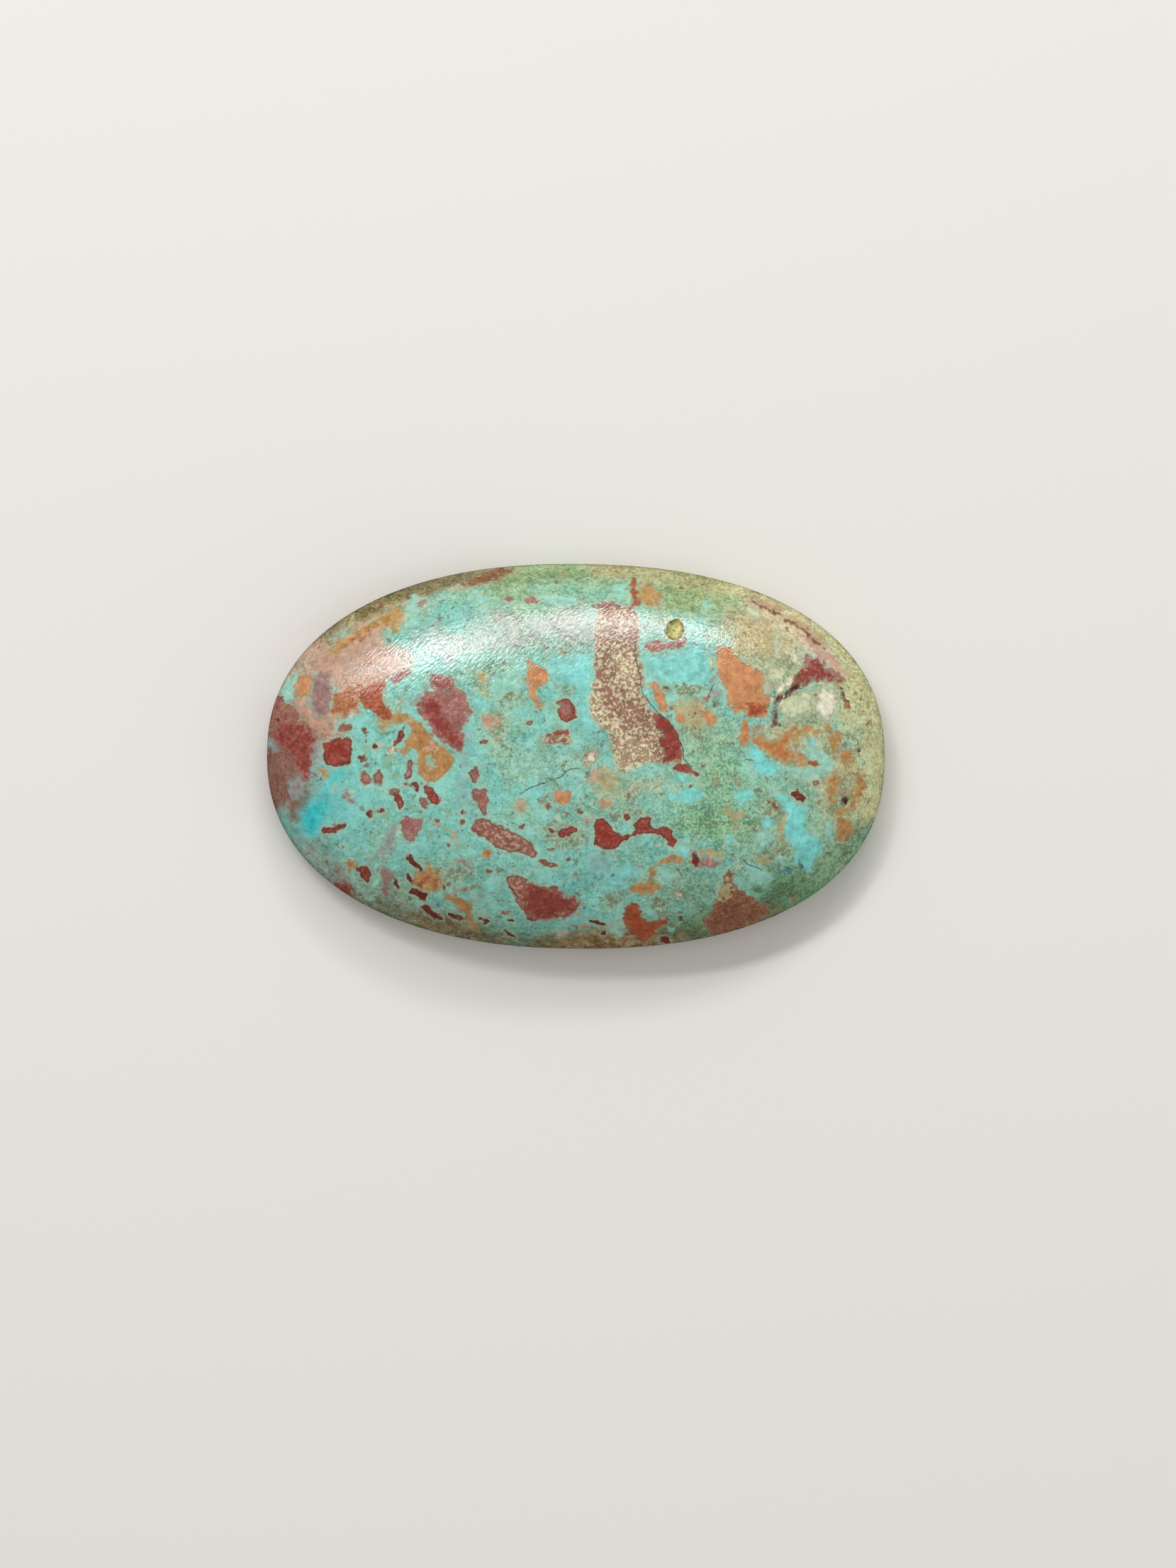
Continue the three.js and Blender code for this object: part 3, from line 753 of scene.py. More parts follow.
# Stray grains in the ground: cells to a millimetre, the share that have one, their size, tone and opacity
STRAY_GRAINS = [
    (0.9, 0.24, 0.2, (172, 132, 108), 0.6),
    (1.4, 0.3, 0.2, (112, 112, 80), 0.6),
    (1.7, 0.2, 0.18, (138, 78, 66), 0.7),
    (1.1, 0.14, 0.22, (206, 210, 180), 0.5),
]
STRAY_RAGGED = 1.2
STRAY_CORE = 0.5

# Noises of the material: lumps to a millimetre, detail and roughness
NOISES = {
    "clouds": (0.6, 6.0, 0.65),
    "mottles": (2.4, 5.0, 0.7),
    "blotches": (1.3, 6.0, 0.65),
    "earth": (1.1, 6.0, 0.7),
    "pale grains": (4.0, 4.0, 0.6),
    "dark grains": (4.6, 4.0, 0.6),
    "specks": (5.0, 3.0, 0.6),
    "fine": (7.0, 3.0, 0.6),
    "crystals": (5.6, 3.0, 0.6),
    "flecks": (5.0, 3.0, 0.6),
    "wobble": (3.2, 2.0, 0.5),
    "grit": (2.2, 6.0, 0.75),
    "polish": (2.2, 4.0, 0.5),
    "peel": (7.0, 3.0, 0.5),
}
CRYSTAL_BLOTCHES = 0.5
WOBBLE_STRENGTH = 1.5

# The polish is uneven and missing in the pits, and has a fine orange peel, drawn out in streaks
POLISH_LEVELS = (-0.2, 0.2)
POLISH_ROUGHNESS = (0.1, 0.2)
PIT_ROUGHNESS = 6.0
STREAK_TURN = (0, 0, math.radians(45))
STREAK_STRETCH = (2, 1, 1)
PEEL_DEPTH = 0.026
STONE_IOR = 1.68

# On the back the face's markings fade inwards, and the back has its own, placed by a seeded draw
BACK_SEED = 11
BACK_MARKINGS = 46
BACK_FADE_START = 0.6
BACK_FADE = 0.9
BACK_KINDS = ["cuprite", "mauve", "rust", "pink speckle", "ochre", "brick", "tan"]

# The back's own markings: how far out they lie, how they fade at its edge, and the size and corners of each
BACK_SPREAD = 0.85
BACK_EDGE = 2
BACK_EDGE_FADE = 0.5
BACK_LARGEST = 2.4
BACK_SIZES = (0.3, 1.0)
BACK_CORNERS = 9
BACK_CORNER_REACH = (0.5, 1.0)
BACK_STRETCH = 1.5

Ring = namedtuple("Ring", "radius height count past_crease back_inset")
Noises = namedtuple("Noises", "blotches fine crystals flecks wobble grit")


def linear(colour):
    """A colour given in eight-bit sRGB, as linear values with alpha."""
    shares = np.array(colour) / 255
    values = np.where(shares <= 0.04045, shares / 12.92, ((shares + 0.055) / 1.055) ** 2.4)
    return (*values, 1.0)


def dome_height(share):
    """Height of the dome above the back, at a share of the way from its middle to the crease."""
    def curve(reached):
        return (1 - (DOME_REACH * reached) ** DOME_POWER) ** (1 / DOME_POWER)

    rise = (curve(share) - curve(1)) / (1 - curve(1))
    return CREASE_HEIGHT + (THICKNESS - CREASE_HEIGHT) * rise


def bend(start, corner, end):
    """Points of a quadratic curve after its start."""
    shares = np.arange(1, EDGE_STEPS + 1)[:, None] / EDGE_STEPS
    start, corner, end = map(np.array, (start, corner, end))
    return (1 - shares) ** 2 * start + 2 * shares * (1 - shares) * corner + shares ** 2 * end


def count_for(wanted):
    """The first count of points, doubled until it is enough for a ring."""
    count = FIRST_COUNT
    while count < wanted:
        count *= 2
    return count


def stone_rings():
    """The rings of the stone, from the one round the top to the one round the middle of the back."""
    rings = []
    for step in range(1, DOME_RINGS + 1):
        share = step / DOME_RINGS
        rings.append(Ring(CREASE_RADIUS * share, dome_height(share), count_for(DOME_COUNT * share), 0, 0))
    crease = (CREASE_RADIUS, CREASE_HEIGHT)
    outer = (HALF_WIDTH, GIRDLE_HEIGHT)
    side = bend(crease, (HALF_WIDTH, (GIRDLE_HEIGHT + CREASE_HEIGHT) / 2), outer)
    bevel = bend(outer, (HALF_WIDTH, GIRDLE_HEIGHT / 3), (BACK_RADIUS, 0))
    past_crease = 0
    for radius, height in [*side, *bevel]:
        past_crease += math.dist((radius, height), crease)
        crease = (radius, height)
        rings.append(Ring(radius, height, count_for(DOME_COUNT), past_crease, 0))
    for step in range(1, BACK_RINGS):
        share = 1 - step / BACK_RINGS
        inset = BACK_RADIUS * (1 - share)
        rings.append(Ring(BACK_RADIUS * share, 0, count_for(BACK_COUNT * share), past_crease, inset))
    return rings


def oval(half_width, half_length, count):
    """Points round an oval of the stone's fullness."""
    angle = 2 * np.pi * np.arange(count) / count
    power = np.where(np.cos(angle) < 0, FULLNESS_LEFT, FULLNESS_RIGHT)
    fullness = (np.abs(np.cos(angle)) ** power + np.abs(np.sin(angle)) ** power) ** (-1 / power)
    return np.column_stack([half_length * np.cos(angle) * fullness, half_width * np.sin(angle) * fullness])


def half_length(radius):
    """The half length of a ring: the dome is drawn out along X, and the edge keeps its section."""
    return radius * DOME_STRETCH if radius < CREASE_RADIUS else radius + HALF_LENGTH - HALF_WIDTH


def strip(start, count, next_start, next_count):
    """Faces between two rings whose counts are the same, or one twice the other."""
    faces = []
    for i in range(min(count, next_count)):
        if count == next_count:
            j = (i + 1) % count
            faces.append((start + i, next_start + i, next_start + j, start + j))
            continue
        small = (i + 1) % min(count, next_count)
        middle = 2 * i + 1
        end = (2 * i + 2) % max(count, next_count)
        if next_count > count:
            faces.append((start + i, next_start + 2 * i, next_start + middle))
            faces.append((start + i, next_start + middle, start + small))
            faces.append((start + small, next_start + middle, next_start + end))
        else:
            faces.append((start + 2 * i, next_start + i, start + middle))
            faces.append((start + middle, next_start + i, next_start + small))
            faces.append((start + middle, next_start + small, start + end))
    return faces


def stone_faces(rings):
    """The faces of the stone, whose first point is the top and whose last is the middle of the back."""
    starts = np.cumsum([1] + [ring.count for ring in rings])
    first, last = rings[0].count, rings[-1].count
    faces = [(0, 1 + i, 1 + (i + 1) % first) for i in range(first)]
    for i in range(len(rings) - 1):
        faces += strip(starts[i], rings[i].count, starts[i + 1], rings[i + 1].count)
    faces += [(starts[-2] + i, starts[-1], starts[-2] + (i + 1) % last) for i in range(last)]
    return [tuple(int(point) for point in face) for face in faces]


def per_point(rings, name):
    """One of the rings' values for each point of the mesh, the first and last points included."""
    values = [getattr(ring, name) for ring in rings]
    counts = [1] + [ring.count for ring in rings] + [1]
    return np.repeat([values[0], *values, values[-1]], counts)


def stone_points(rings):
    """The points of the stone before its pits are cut, in millimetres."""
    points = [np.array([[0, 0, THICKNESS]])]
    for ring in rings:
        flat = oval(ring.radius, half_length(ring.radius), ring.count)
        points.append(np.column_stack([flat, np.full(ring.count, ring.height)]))
    points.append(np.zeros((1, 3)))
    return np.vstack(points)


def wave(x, y, share):
    """The unevenness at a point of the face, none at the middle of the dome or at the crease."""
    along = np.sin(2 * np.pi * x / WAVE_LENGTH + WAVE_PHASE)
    across = np.cos(2 * np.pi * y / WAVE_LENGTH)
    return WAVE_HEIGHT * along * across * 4 * share ** 2 * (1 - share ** 2)


def pit_depth(x, y):
    """How deep the pits and fissures are at a point of the face."""
    depth = np.zeros(len(x))
    for middle_x, middle_y, length, width, deepest, turn in PITS:
        angle = math.radians(turn)
        along = (x - middle_x) * math.cos(angle) + (y - middle_y) * math.sin(angle)
        across = (y - middle_y) * math.cos(angle) - (x - middle_x) * math.sin(angle)
        reach = (2 * along / length) ** 2 + (2 * across / width) ** 2
        depth = np.maximum(depth, deepest * np.sqrt(np.clip(1 - reach, 0, None)))
    return depth


def rounded(outline, steps=4):
    """A closed smooth curve in millimetres through the points of an outline."""
    points = np.array(outline) * TENTH
    before, after, second = np.roll(points, 1, 0), np.roll(points, -1, 0), np.roll(points, -2, 0)
    curve = []
    for share in np.arange(steps) / steps:
        turn = (after - before) * share
        bow = (2 * before - 5 * points + 4 * after - second) * share ** 2
        twist = (3 * points - before - 3 * after + second) * share ** 3
        curve.append(points + (turn + bow + twist) / 2)
    return np.stack(curve, axis=1).reshape(-1, 2)


def segment_offsets(x, y, start, end):
    """Distance to a straight segment, and on which side of it each point is."""
    step = end - start
    along = np.clip(((x - start[0]) * step[0] + (y - start[1]) * step[1]) / (step @ step), 0, 1)
    side = np.sign(step[0] * (y - start[1]) - step[1] * (x - start[0]))
    return np.hypot(x - start[0] - along * step[0], y - start[1] - along * step[1]), side


def depth_inside(x, y, outline):
    """How far inside an outline each point is: negative outside."""
    distance = np.full(len(x), np.inf)
    inside = np.zeros(len(x), bool)
    for start, end in zip(outline, np.roll(outline, -1, axis=0)):
        distance = np.minimum(distance, segment_offsets(x, y, start, end)[0])
        crossed = (start[1] > y) != (end[1] > y)
        rise = end[1] - start[1] or 1.0
        inside ^= crossed & (x < start[0] + (y - start[1]) * (end[0] - start[0]) / rise)
    return np.where(inside, distance, -distance)


def blank_layer(count):
    """A layer of markings with nothing on it yet."""
    painted = {part: np.zeros((count, 4)) for part in ("core", "rind", "finish")}
    painted["edge"] = np.full(count, -FAR)
    return painted


def paint(painted, x, y, fade, groups):
    """Puts groups of outlines on a layer, where a point keeps the marking that it is deepest in."""
    for name, outlines in groups.items():
        kind = KINDS[name]
        for outline in outlines:
            curve = rounded(outline)
            low = curve.min(axis=0) - HALO_REACH
            high = curve.max(axis=0) + HALO_REACH
            near = np.nonzero((x > low[0]) & (x < high[0]) & (y > low[1]) & (y < high[1]))[0]
            depth = depth_inside(x[near], y[near], curve) - fade[near]
            deeper = depth > painted["edge"][near]
            chosen = near[deeper]
            painted["edge"][chosen] = depth[deeper]
            painted["core"][chosen] = linear(kind.core)
            painted["rind"][chosen] = linear(kind.edge)
            painted["finish"][chosen] = kind[2:]


def back_groups():
    """Markings for the back, with angular outlines, in a seeded draw."""
    draw = np.random.default_rng(BACK_SEED)
    groups = {}
    for _ in range(BACK_MARKINGS):
        x, y = draw.uniform(-BACK_SPREAD, BACK_SPREAD, 2) * (HALF_LENGTH, HALF_WIDTH)
        size = draw.uniform(*BACK_SIZES) ** 2 * BACK_LARGEST
        angles = np.sort(draw.uniform(0, 2 * np.pi, BACK_CORNERS))
        reach = size * draw.uniform(*BACK_CORNER_REACH, BACK_CORNERS)
        corners_x = x + BACK_STRETCH * reach * np.cos(angles)
        corners_y = y + reach * np.sin(angles)
        kind = BACK_KINDS[draw.integers(len(BACK_KINDS))]
        groups.setdefault(kind, []).append(np.column_stack([corners_x, corners_y]) / TENTH)
    return groups


def ripple(x, y, turn):
    """An unevenness of about a millimetre that bends the borders of the ground's zones."""
    along = x * math.cos(turn) + y * math.sin(turn)
    across = y * math.cos(turn) - x * math.sin(turn)
    total = 0
    for step, (height, pace, bow, bow_pace) in enumerate(RIPPLES, 1):
        total += height * np.sin(pace * along + bow * np.sin(bow_pace * across + step * turn))
        along, across = across, along
    return total


def ground_tones(x, y, inset):
    """The ground's light and dark colours and its finish at each point, with its zones blended in."""
    def values(name):
        tone = GROUND[name]
        return np.concatenate([linear(tone.light), linear(tone.dark), tone[2:]])

    bent_x = x + ripple(x, y, RIPPLE_TURN_X)
    bent_y = y + ripple(x, y, RIPPLE_TURN_Y)
    tones = np.tile(values("turquoise"), (len(x), 1))
    for name, middle_x, middle_y, reach_x, reach_y, strength in GROUND_ZONES:
        away = ((bent_x - middle_x) / reach_x) ** 2 + ((bent_y - middle_y) / reach_y) ** 2
        share = strength * np.exp(-(away ** ZONE_POWER))
        tones += share[:, None] * (values(name) - tones)
    angle = np.degrees(np.arctan2(bent_y * DOME_STRETCH, bent_x))
    bent_inset = np.clip(inset + RIM_RIPPLE * ripple(x, y, RIPPLE_TURN_RIM), 0, None)
    for name, start, end, reach, strength in RIM_ZONES:
        past_start = (angle - start) % 360
        before_end = (end - start) % 360 - past_start
        along = np.clip(np.minimum(past_start, before_end) / RIM_BLEND, 0, 1)
        share = strength * along * np.exp(-((bent_inset / reach) ** 2))
        tones += share[:, None] * (values(name) - tones)
    return np.split(tones, 3, axis=1)


def crack_offsets(x, y):
    """Distance to the nearest crack, and the same with the side of the crack as its sign."""
    distance = np.full(len(x), FAR)
    signed = np.full(len(x), FAR)
    for crack in CRACKS:
        points = np.array(crack) * TENTH
        for start, end in zip(points[:-1], points[1:]):
            away, side = segment_offsets(x, y, start, end)
            nearer = away < distance
            distance[nearer] = away[nearer]
            signed[nearer] = (away * side)[nearer]
    return distance, signed


def store(mesh, name, values):
    """Keeps a value or a colour for each point of a mesh."""
    if values.ndim == 1:
        mesh.attributes.new(name, "FLOAT", "POINT").data.foreach_set("value", values)
    else:
        mesh.attributes.new(name, "FLOAT_COLOR", "POINT").data.foreach_set("color", values.ravel())


def store_markings(mesh, points, rings):
    """Works out all the markings and keeps them on the mesh."""
    x, y = points[:, 0], points[:, 1]
    inset = per_point(rings, "back_inset")
    on_back = inset > 0
    face_fade = BACK_FADE * np.clip(inset - BACK_FADE_START, 0, None)
    back_fade = np.where(on_back, BACK_EDGE_FADE * np.clip(BACK_EDGE - inset, 0, None), 2 * FAR)
    rim_inset = np.where(on_back, inset, CREASE_RADIUS - per_point(rings, "radius"))
    for name, values in zip(("light", "dark", "finish"), ground_tones(x, y, rim_inset)):
        store(mesh, f"ground_{name}", values)
    for layer in LAYERS:
        painted = blank_layer(len(points))
        paint(painted, x, y, face_fade, layer.groups)
        if layer.groups is PATCHES:
            paint(painted, x, y, back_fade, back_groups())
        for part, values in painted.items():
            store(mesh, f"{layer.name}_{part}", values)
    distance, signed = crack_offsets(x, y)
    store(mesh, "crack_distance", np.where(on_back, FAR, distance))
    store(mesh, "crack_signed", signed)


def lay_out_map(mesh, rings):
    """The stone's own map: the dome with the edge unrolled round it, and the back below it."""
    margin = 0.01
    edge_reach = max(ring.past_crease for ring in rings)
    width = 2 * (half_length(CREASE_RADIUS) + edge_reach)
    scale = (1 - 2 * margin) / width
    dome_middle = (0.5, 1 - margin - scale * (CREASE_RADIUS + edge_reach))
    room_below = dome_middle[1] - scale * (CREASE_RADIUS + edge_reach) - 2 * margin
    back_scale = room_below / (2 * BACK_RADIUS)
    back_middle = (0.5, margin + room_below / 2)
    unrolled = [np.zeros((1, 2))]
    for ring in rings:
        radius = min(ring.radius, CREASE_RADIUS) if ring.past_crease == 0 else CREASE_RADIUS
        reach = ring.past_crease
        unrolled.append(oval(radius + reach, half_length(radius) + reach, ring.count))
    unrolled.append(np.zeros((1, 2)))
    points = np.empty(len(mesh.vertices) * 3)
    mesh.vertices.foreach_get("co", points)
    flat = points.reshape(-1, 3)[:, :2] / MM
    on_dome = np.vstack(unrolled) * scale + dome_middle
    on_back = flat * back_scale + back_middle
    loop_points = np.empty(len(mesh.loops), int)
    mesh.loops.foreach_get("vertex_index", loop_points)
    sizes = np.empty(len(mesh.polygons), int)
    mesh.polygons.foreach_get("loop_total", sizes)
    inset = per_point(rings, "back_inset")[loop_points]
    face_inset = np.repeat(np.maximum.reduceat(inset, np.cumsum(sizes) - sizes), sizes)
    places = np.where((face_inset > 0)[:, None], on_back[loop_points], on_dome[loop_points])
    mesh.uv_layers.new(name="OFBake").data.foreach_set("uv", places.ravel())


class Paint:
    """A material's nodes, with a short call for each kind of node that it uses."""

    def __init__(self, name):
        self.material = bpy.data.materials.new(name)
        self.material.use_nodes = True
        self.tree = self.material.node_tree
        self.shader = self.tree.nodes["Principled BSDF"]
        self.place = self.tree.nodes.new("ShaderNodeTexCoord").outputs["Object"]

    def feed(self, socket, value):
        if isinstance(value, bpy.types.NodeSocket):
            self.tree.links.new(value, socket)
        else:
            socket.default_value = value

    def node(self, kind, inputs, **settings):
        made = self.tree.nodes.new(kind)
        for name, value in settings.items():
            setattr(made, name, value)
        for key, value in inputs.items():
            self.feed(made.inputs[key], value)
        return made

    def attribute(self, name):
        return self.node("ShaderNodeAttribute", {}, attribute_name=name)

    def finish(self, name):
        """The four values that a finish attribute holds."""
        held = self.attribute(name)
        parts = self.node("ShaderNodeSeparateColor", {"Color": held.outputs["Color"]})
        return [*parts.outputs, held.outputs["Alpha"]]

    def noise(self, name, place=None):
        """One of the material's noises, about 0."""
        per_mm, detail, roughness = NOISES[name]
        inputs = {"Scale": per_mm / MM, "Detail": detail, "Roughness": roughness}
        made = self.node("ShaderNodeTexNoise", {"Vector": place or self.place, **inputs})
        return self.sum(made.outputs["Fac"], -0.5)

    def math(self, operation, first, second=0.0, clamp=False):
        inputs = {0: first, 1: second}
        return self.node("ShaderNodeMath", inputs, operation=operation, use_clamp=clamp).outputs[0]

    def sum(self, first, second, clamp=False):
        return self.math("ADD", first, second, clamp)

    def times(self, first, second):
        return self.math("MULTIPLY", first, second)

    def ramp(self, value, low, high, start=0.0, end=1.0):
        inputs = {"Value": value, "From Min": low, "From Max": high, "To Min": start, "To Max": end}
        return self.node("ShaderNodeMapRange", inputs, interpolation_type="SMOOTHSTEP").outputs["Result"]

    def mix(self, share, first, second):
        return self.node("ShaderNodeMix", {0: share, 6: first, 7: second}, data_type="RGBA").outputs[2]

    def shaded(self, colour, noise, strength):
        """A colour made darker and lighter by a noise."""
        shade = self.sum(self.times(noise, strength), 1.0)
        inputs = {0: 1.0, 6: colour, 7: shade}
        return self.node("ShaderNodeMix", inputs, data_type="RGBA", blend_type="MULTIPLY").outputs[2]

    def cover(self, below, cover, noise, share):
        """Lays a cover over a share of a colour, where a noise is highest."""
        lifted = self.sum(noise, self.times(share, COVER_LIFT))
        there = self.ramp(lifted, COVER_LEVEL, COVER_LEVEL + cover.soft)
        return self.mix(self.times(there, cover.opacity), below, linear(cover.tone))


def shared_noises(stone):
    """The noises that more than one part of the material reads."""
    blotches = stone.noise("blotches")
    return Noises(
        blotches=blotches,
        fine=stone.noise("fine"),
        crystals=stone.sum(stone.noise("crystals"), stone.times(blotches, CRYSTAL_BLOTCHES)),
        flecks=stone.ramp(stone.noise("flecks"), *FLECK_LEVELS),
        wobble=stone.times(stone.noise("wobble"), WOBBLE_STRENGTH),
        grit=stone.noise("grit"),
    )


def ground_colour(stone, noises):
    """The blue-green mass: two tones in broad clouds, sage and earthy clouds, and pale and dark grains."""
    grain, sage, earth, specks = stone.finish("ground_finish")
    light = stone.attribute("ground_light").outputs["Color"]
    dark = stone.attribute("ground_dark").outputs["Color"]
    clouds = stone.noise("clouds")
    mottles = stone.noise("mottles")
    tone = stone.sum(stone.times(clouds, CLOUD_STRENGTH), stone.times(mottles, MOTTLE_STRENGTH))
    fine_strength = stone.sum(stone.times(grain, FINE_GRAIN_STRENGTH), FINE_STRENGTH)
    tone = stone.sum(tone, stone.times(noises.fine, fine_strength))
    colour = stone.mix(stone.sum(tone, 0.5, clamp=True), dark, light)
    colour = stone.shaded(colour, noises.grit, stone.times(grain, GROUND_SHADE))
    colour = stone.cover(colour, SAGE, noises.blotches, sage)
    colour = stone.cover(colour, EARTH, stone.noise("earth"), earth)
    some_grain = stone.times(grain, GRAIN_SHARE)
    colour = stone.cover(colour, PALE_GRAINS, stone.noise("pale grains"), some_grain)
    colour = stone.cover(colour, DARK_GRAINS, stone.noise("dark grains"), some_grain)
    clusters = stone.sum(stone.noise("specks"), stone.times(clouds, SPECK_CLOUDS))
    return stone.cover(colour, SPECKS, clusters, stone.times(specks, SPECK_SHARE))


def scatter(stone, below, wobble, per_mm, share, size, tone, opacity):
    """Scatters small ragged grains of one tone over a share of the cells of a loose grid."""
    cells = stone.node("ShaderNodeTexVoronoi", {"Vector": stone.place, "Scale": per_mm / MM})
    chance = stone.node("ShaderNodeSeparateColor", {"Color": cells.outputs["Color"]}).outputs[0]
    reach = stone.sum(cells.outputs["Distance"], stone.times(wobble, STRAY_RAGGED))
    chosen = stone.math("LESS_THAN", chance, share)
    there = stone.times(stone.ramp(reach, size, size * STRAY_CORE), chosen)
    return stone.mix(stone.times(there, opacity), below, linear(tone))


def add_layer(stone, below, noises, layer):
    """Adds one layer of markings over a colour: the grain mixes the core and edge colours of each."""
    edge = stone.attribute(f"{layer.name}_edge").outputs["Fac"]
    core_colour = stone.attribute(f"{layer.name}_core").outputs["Color"]
    edge_colour = stone.attribute(f"{layer.name}_rind").outputs["Color"]
    grain, soft, ragged, rim = stone.finish(f"{layer.name}_finish")
    rim = stone.times(rim, layer.rimmed)
    edge = stone.sum(edge, stone.times(noises.wobble, ragged))
    inside = stone.times(stone.ramp(edge, stone.times(soft, -1.0), soft), layer.opacity)
    halo = stone.times(stone.ramp(edge, *HALO_FADE), stone.times(rim, HALO_STRENGTH))
    below = stone.mix(halo, below, linear(HALO_TONE))

    gain = stone.sum(stone.times(grain, GRAIN_GAIN), 1.0)
    speckled = stone.ramp(grain, *SPECKLED_GRAIN)
    core_pull = stone.ramp(speckled, 0.0, 1.0, CORE_PULL, SPECKLED_PULL)
    depth = stone.ramp(edge, 0.0, CORE_DEPTH, -CORE_PULL, core_pull)
    tone = stone.sum(stone.sum(stone.times(noises.crystals, gain), depth), 0.5)
    colour = stone.mix(stone.sum(tone, 0.0, clamp=True), edge_colour, core_colour)
    outline = stone.ramp(stone.math("ABSOLUTE", stone.sum(tone, -0.5)), *OUTLINE_FADE)
    outline = stone.times(stone.times(outline, speckled), OUTLINE_OPACITY)
    colour = stone.mix(outline, colour, linear(OUTLINE_TONE))
    flecks = stone.times(stone.times(noises.flecks, rim), FLECK_OPACITY)
    colour = stone.mix(flecks, colour, linear(FLECK_TONE))
    colour = stone.shaded(colour, noises.grit, MARKING_SHADE)
    broken = stone.ramp(noises.crystals, *RIM_BREAKS, 1.0, RIM_LEFT)
    rim = stone.times(stone.times(stone.ramp(edge, *RIM_FADE), rim), broken)
    colour = stone.mix(rim, colour, linear(RIM_TONE))
    return stone.mix(inside, below, colour)


def add_cracks(stone, below, fine):
    """Draws the cracks over a colour."""
    signed = stone.sum(stone.attribute("crack_signed").outputs["Fac"], stone.times(fine, CRACK_WOBBLE))
    line = stone.ramp(stone.math("ABSOLUTE", signed), *CRACK_FADE)
    near = stone.ramp(stone.attribute("crack_distance").outputs["Fac"], *CRACK_REACH)
    return stone.mix(stone.times(stone.times(line, near), CRACK_OPACITY), below, linear(CRACK_TONE))


def stone_material():
    """Polished stone: ground, stray grains, three layers of markings, cracks, and a fine orange peel."""
    stone = Paint("polished_stone")
    noises = shared_noises(stone)
    colour = ground_colour(stone, noises)
    for grains in STRAY_GRAINS:
        colour = scatter(stone, colour, noises.wobble, *grains)
    for layer in LAYERS:
        colour = add_layer(stone, colour, noises, layer)
    colour = add_cracks(stone, colour, noises.fine)

    pit = stone.attribute("pit").outputs["Fac"]
    roughness = stone.ramp(stone.noise("polish"), *POLISH_LEVELS, *POLISH_ROUGHNESS)
    roughness = stone.sum(roughness, stone.times(pit, PIT_ROUGHNESS), clamp=True)
    turned = {"Vector": stone.place, "Rotation": STREAK_TURN, "Scale": STREAK_STRETCH}
    streaks = stone.node("ShaderNodeMapping", turned, vector_type="TEXTURE").outputs["Vector"]
    peel = {"Strength": 1.0, "Distance": PEEL_DEPTH * MM, "Height": stone.noise("peel", streaks)}
    bumps = stone.node("ShaderNodeBump", peel).outputs["Normal"]
    stone.feed(stone.shader.inputs["Base Color"], colour)
    stone.feed(stone.shader.inputs["Roughness"], roughness)
    stone.feed(stone.shader.inputs["Normal"], bumps)
    stone.shader.inputs["IOR"].default_value = STONE_IOR
    return stone.material


def make_stone():
    """The stone as one closed mesh, in place of its plain solid."""
    rings = stone_rings()
    points = stone_points(rings)
    x, y = points[:, 0], points[:, 1]
    share = per_point(rings, "radius") / CREASE_RADIUS
    on_dome = (per_point(rings, "past_crease") == 0) & (per_point(rings, "back_inset") == 0)
    share[0] = 0
    on_dome[-1] = False
    pit = np.where(on_dome, pit_depth(x, y), 0)
    points[:, 2] += np.where(on_dome, wave(x, y, np.clip(share, 0, 1)), 0) - pit
    mesh = bpy.data.meshes.new("chrysocolla")
    mesh.from_pydata(points * MM, [], stone_faces(rings))
    mesh.polygons.foreach_set("use_smooth", np.ones(len(mesh.polygons), bool))
    store_markings(mesh, points, rings)
    store(mesh, "pit", pit)
    lay_out_map(mesh, rings)
    mesh.materials.append(stone_material())
    stone = bpy.data.objects.new("chrysocolla", mesh)
    bpy.context.scene.collection.objects.link(stone)
    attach(stone, "root")
    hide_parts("stone")


# The floor and the surroundings, which the polish doesn't mirror
FLOOR_SIZE = 1.2
FLOOR_TONE = (226, 224, 220)
FLOOR_ROUGHNESS = 0.8
WORLD_TONE = (240, 238, 233)
WORLD_STRENGTH = 0.58

# Soft boxes at a distance from the stone: the directions of both ends, the height, the brightness,
# and whether the polish mirrors it
LIGHT_DISTANCE = 0.45
LIGHTS = {
    "fill": ((0.62, -0.75, 0.62), (0.95, -0.2, 0.5), 0.45, 0.85, False),
    "left": ((-0.66, 0.43, 0.62), (-0.46, 0.545, 0.7), 0.035, 15, True),
    "window": ((-0.46, 0.545, 0.7), (-0.28, 0.64, 0.715), 0.03, 54, True),
    "middle": ((-0.28, 0.63, 0.72), (0.02, 0.83, 0.56), 0.075, 9.5, True),
    "right": ((0.02, 0.83, 0.56), (0.34, 0.74, 0.59), 0.05, 17, True),
}

# The view: the picture's width and scale, how many pixels its middle is to the right of the stone's middle
# and above it, the camera's height in metres, and its turn in degrees
IMAGE_WIDTH = 1659
PIXELS_PER_MM = 24.886
VIEW_OFFSET = (17.3, -39.1)
VIEW_DISTANCE = 0.35
VIEW_TURN = 0.55


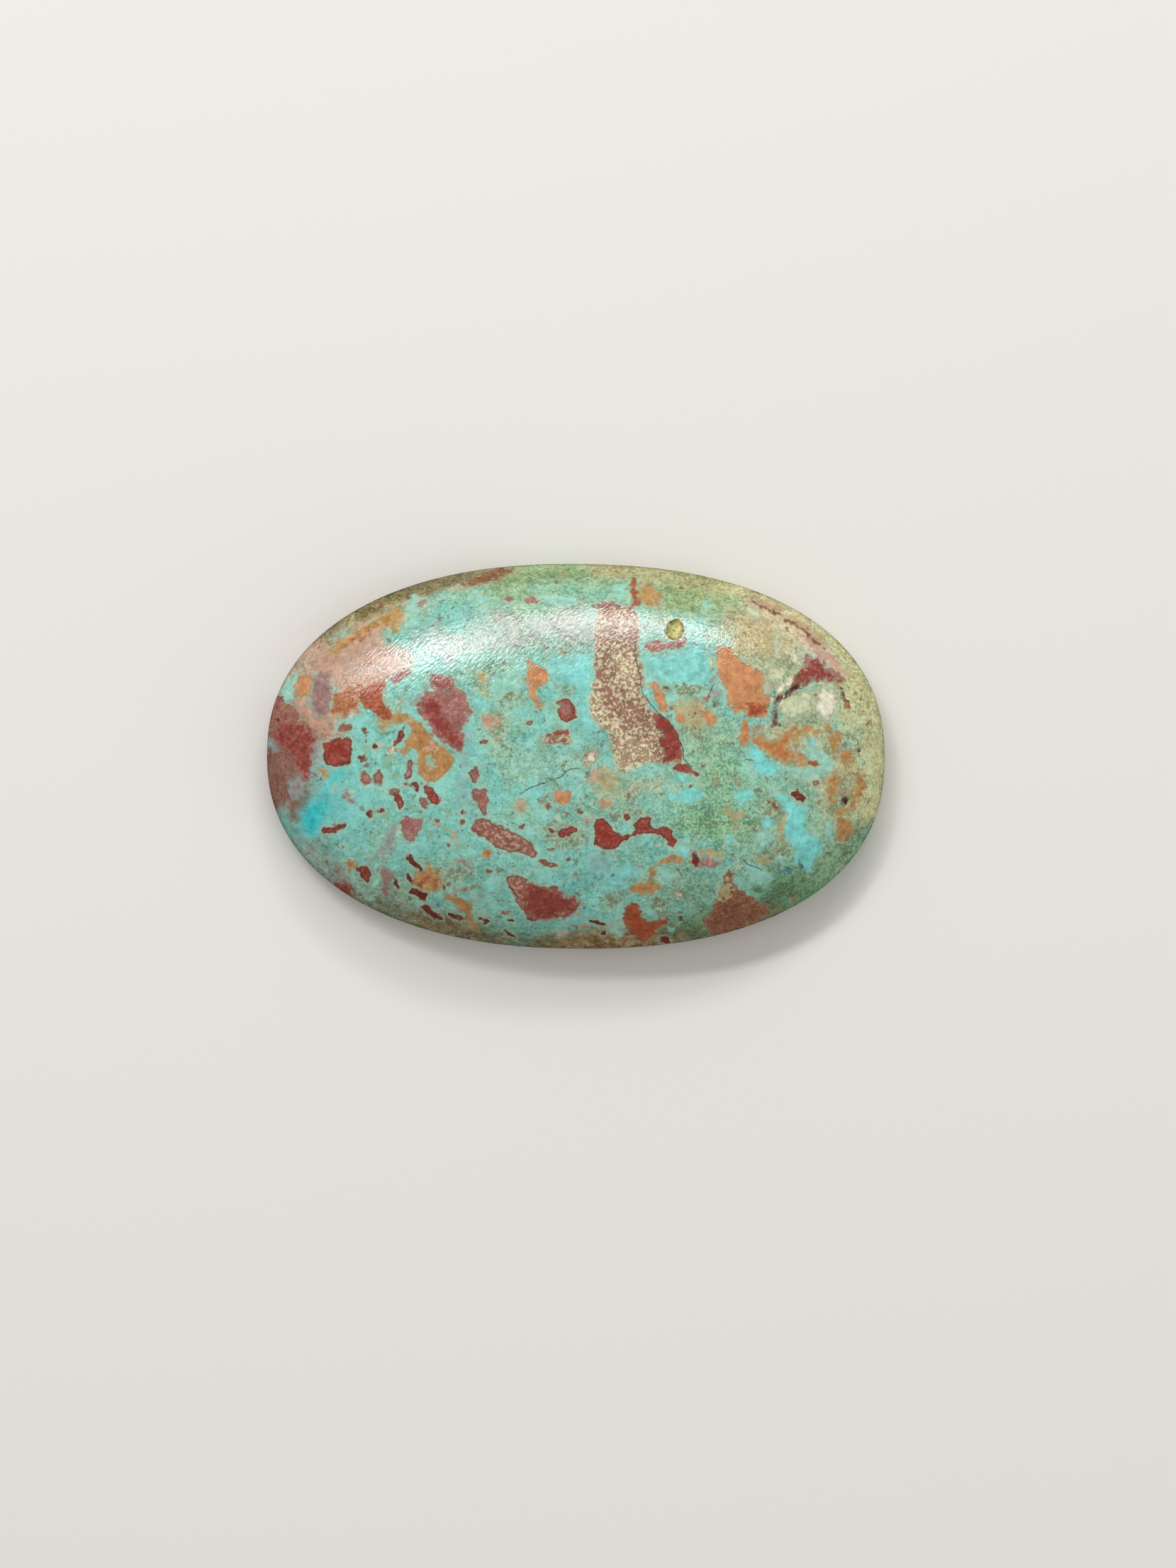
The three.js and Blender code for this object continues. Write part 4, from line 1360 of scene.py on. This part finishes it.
def make_floor():
    """A plain pale floor under the stone."""
    half = FLOOR_SIZE / 2
    corners = [(-half, -half, 0), (half, -half, 0), (half, half, 0), (-half, half, 0)]
    mesh = bpy.data.meshes.new("floor")
    mesh.from_pydata(corners, [], [(0, 1, 2, 3)])
    material = bpy.data.materials.new("floor")
    material.use_nodes = True
    shader = material.node_tree.nodes["Principled BSDF"]
    shader.inputs["Base Color"].default_value = linear(FLOOR_TONE)
    shader.inputs["Roughness"].default_value = FLOOR_ROUGHNESS
    mesh.materials.append(material)
    floor = bpy.data.objects.new("floor", mesh)
    bpy.context.scene.collection.objects.link(floor)
    floor.visible_glossy = False


def make_light(name, start, end, height, brightness, mirrored):
    """A long soft box that shines on the stone, between two directions from it."""
    start, end = (Vector(direction).normalized() * LIGHT_DISTANCE for direction in (start, end))
    place = (start + end) / 2
    along = (end - start).normalized()
    away = (place - along * place.dot(along)).normalized()
    light = bpy.data.lights.new(name, "AREA")
    light.shape = "RECTANGLE"
    light.size = (end - start).length
    light.size_y = height
    light.energy = brightness * math.pi * light.size * height
    lamp = bpy.data.objects.new(name, light)
    turn = Matrix((along, away.cross(along), away)).transposed()
    lamp.matrix_world = Matrix.Translation(place) @ turn.to_4x4()
    lamp.visible_glossy = mirrored
    bpy.context.scene.collection.objects.link(lamp)


def make_world():
    """Even pale surroundings."""
    world = bpy.data.worlds.new("studio")
    world.use_nodes = True
    background = world.node_tree.nodes["Background"]
    background.inputs["Color"].default_value = linear(WORLD_TONE)
    background.inputs["Strength"].default_value = WORLD_STRENGTH
    world.cycles_visibility.glossy = False
    bpy.context.scene.world = world


def make_camera():
    """Looks straight down, at the scale, place and turn that the stone has in the photograph."""
    data = bpy.data.cameras.new("camera")
    frame_width = IMAGE_WIDTH / PIXELS_PER_MM * MM
    data.sensor_fit = "HORIZONTAL"
    data.lens = data.sensor_width * (VIEW_DISTANCE - GIRDLE_HEIGHT * MM) / frame_width
    camera = bpy.data.objects.new("camera", data)
    turn = math.radians(VIEW_TURN)
    right, up = (offset / PIXELS_PER_MM * MM for offset in VIEW_OFFSET)
    camera.location = (
        right * math.cos(turn) - up * math.sin(turn),
        right * math.sin(turn) + up * math.cos(turn),
        VIEW_DISTANCE,
    )
    camera.rotation_euler = (0, 0, turn)
    bpy.context.scene.collection.objects.link(camera)
    bpy.context.scene.camera = camera


make_camera()
make_floor()
make_world()
for light_name, light_values in LIGHTS.items():
    make_light(light_name, *light_values)
bpy.context.scene.view_settings.view_transform = "Standard"
make_stone()
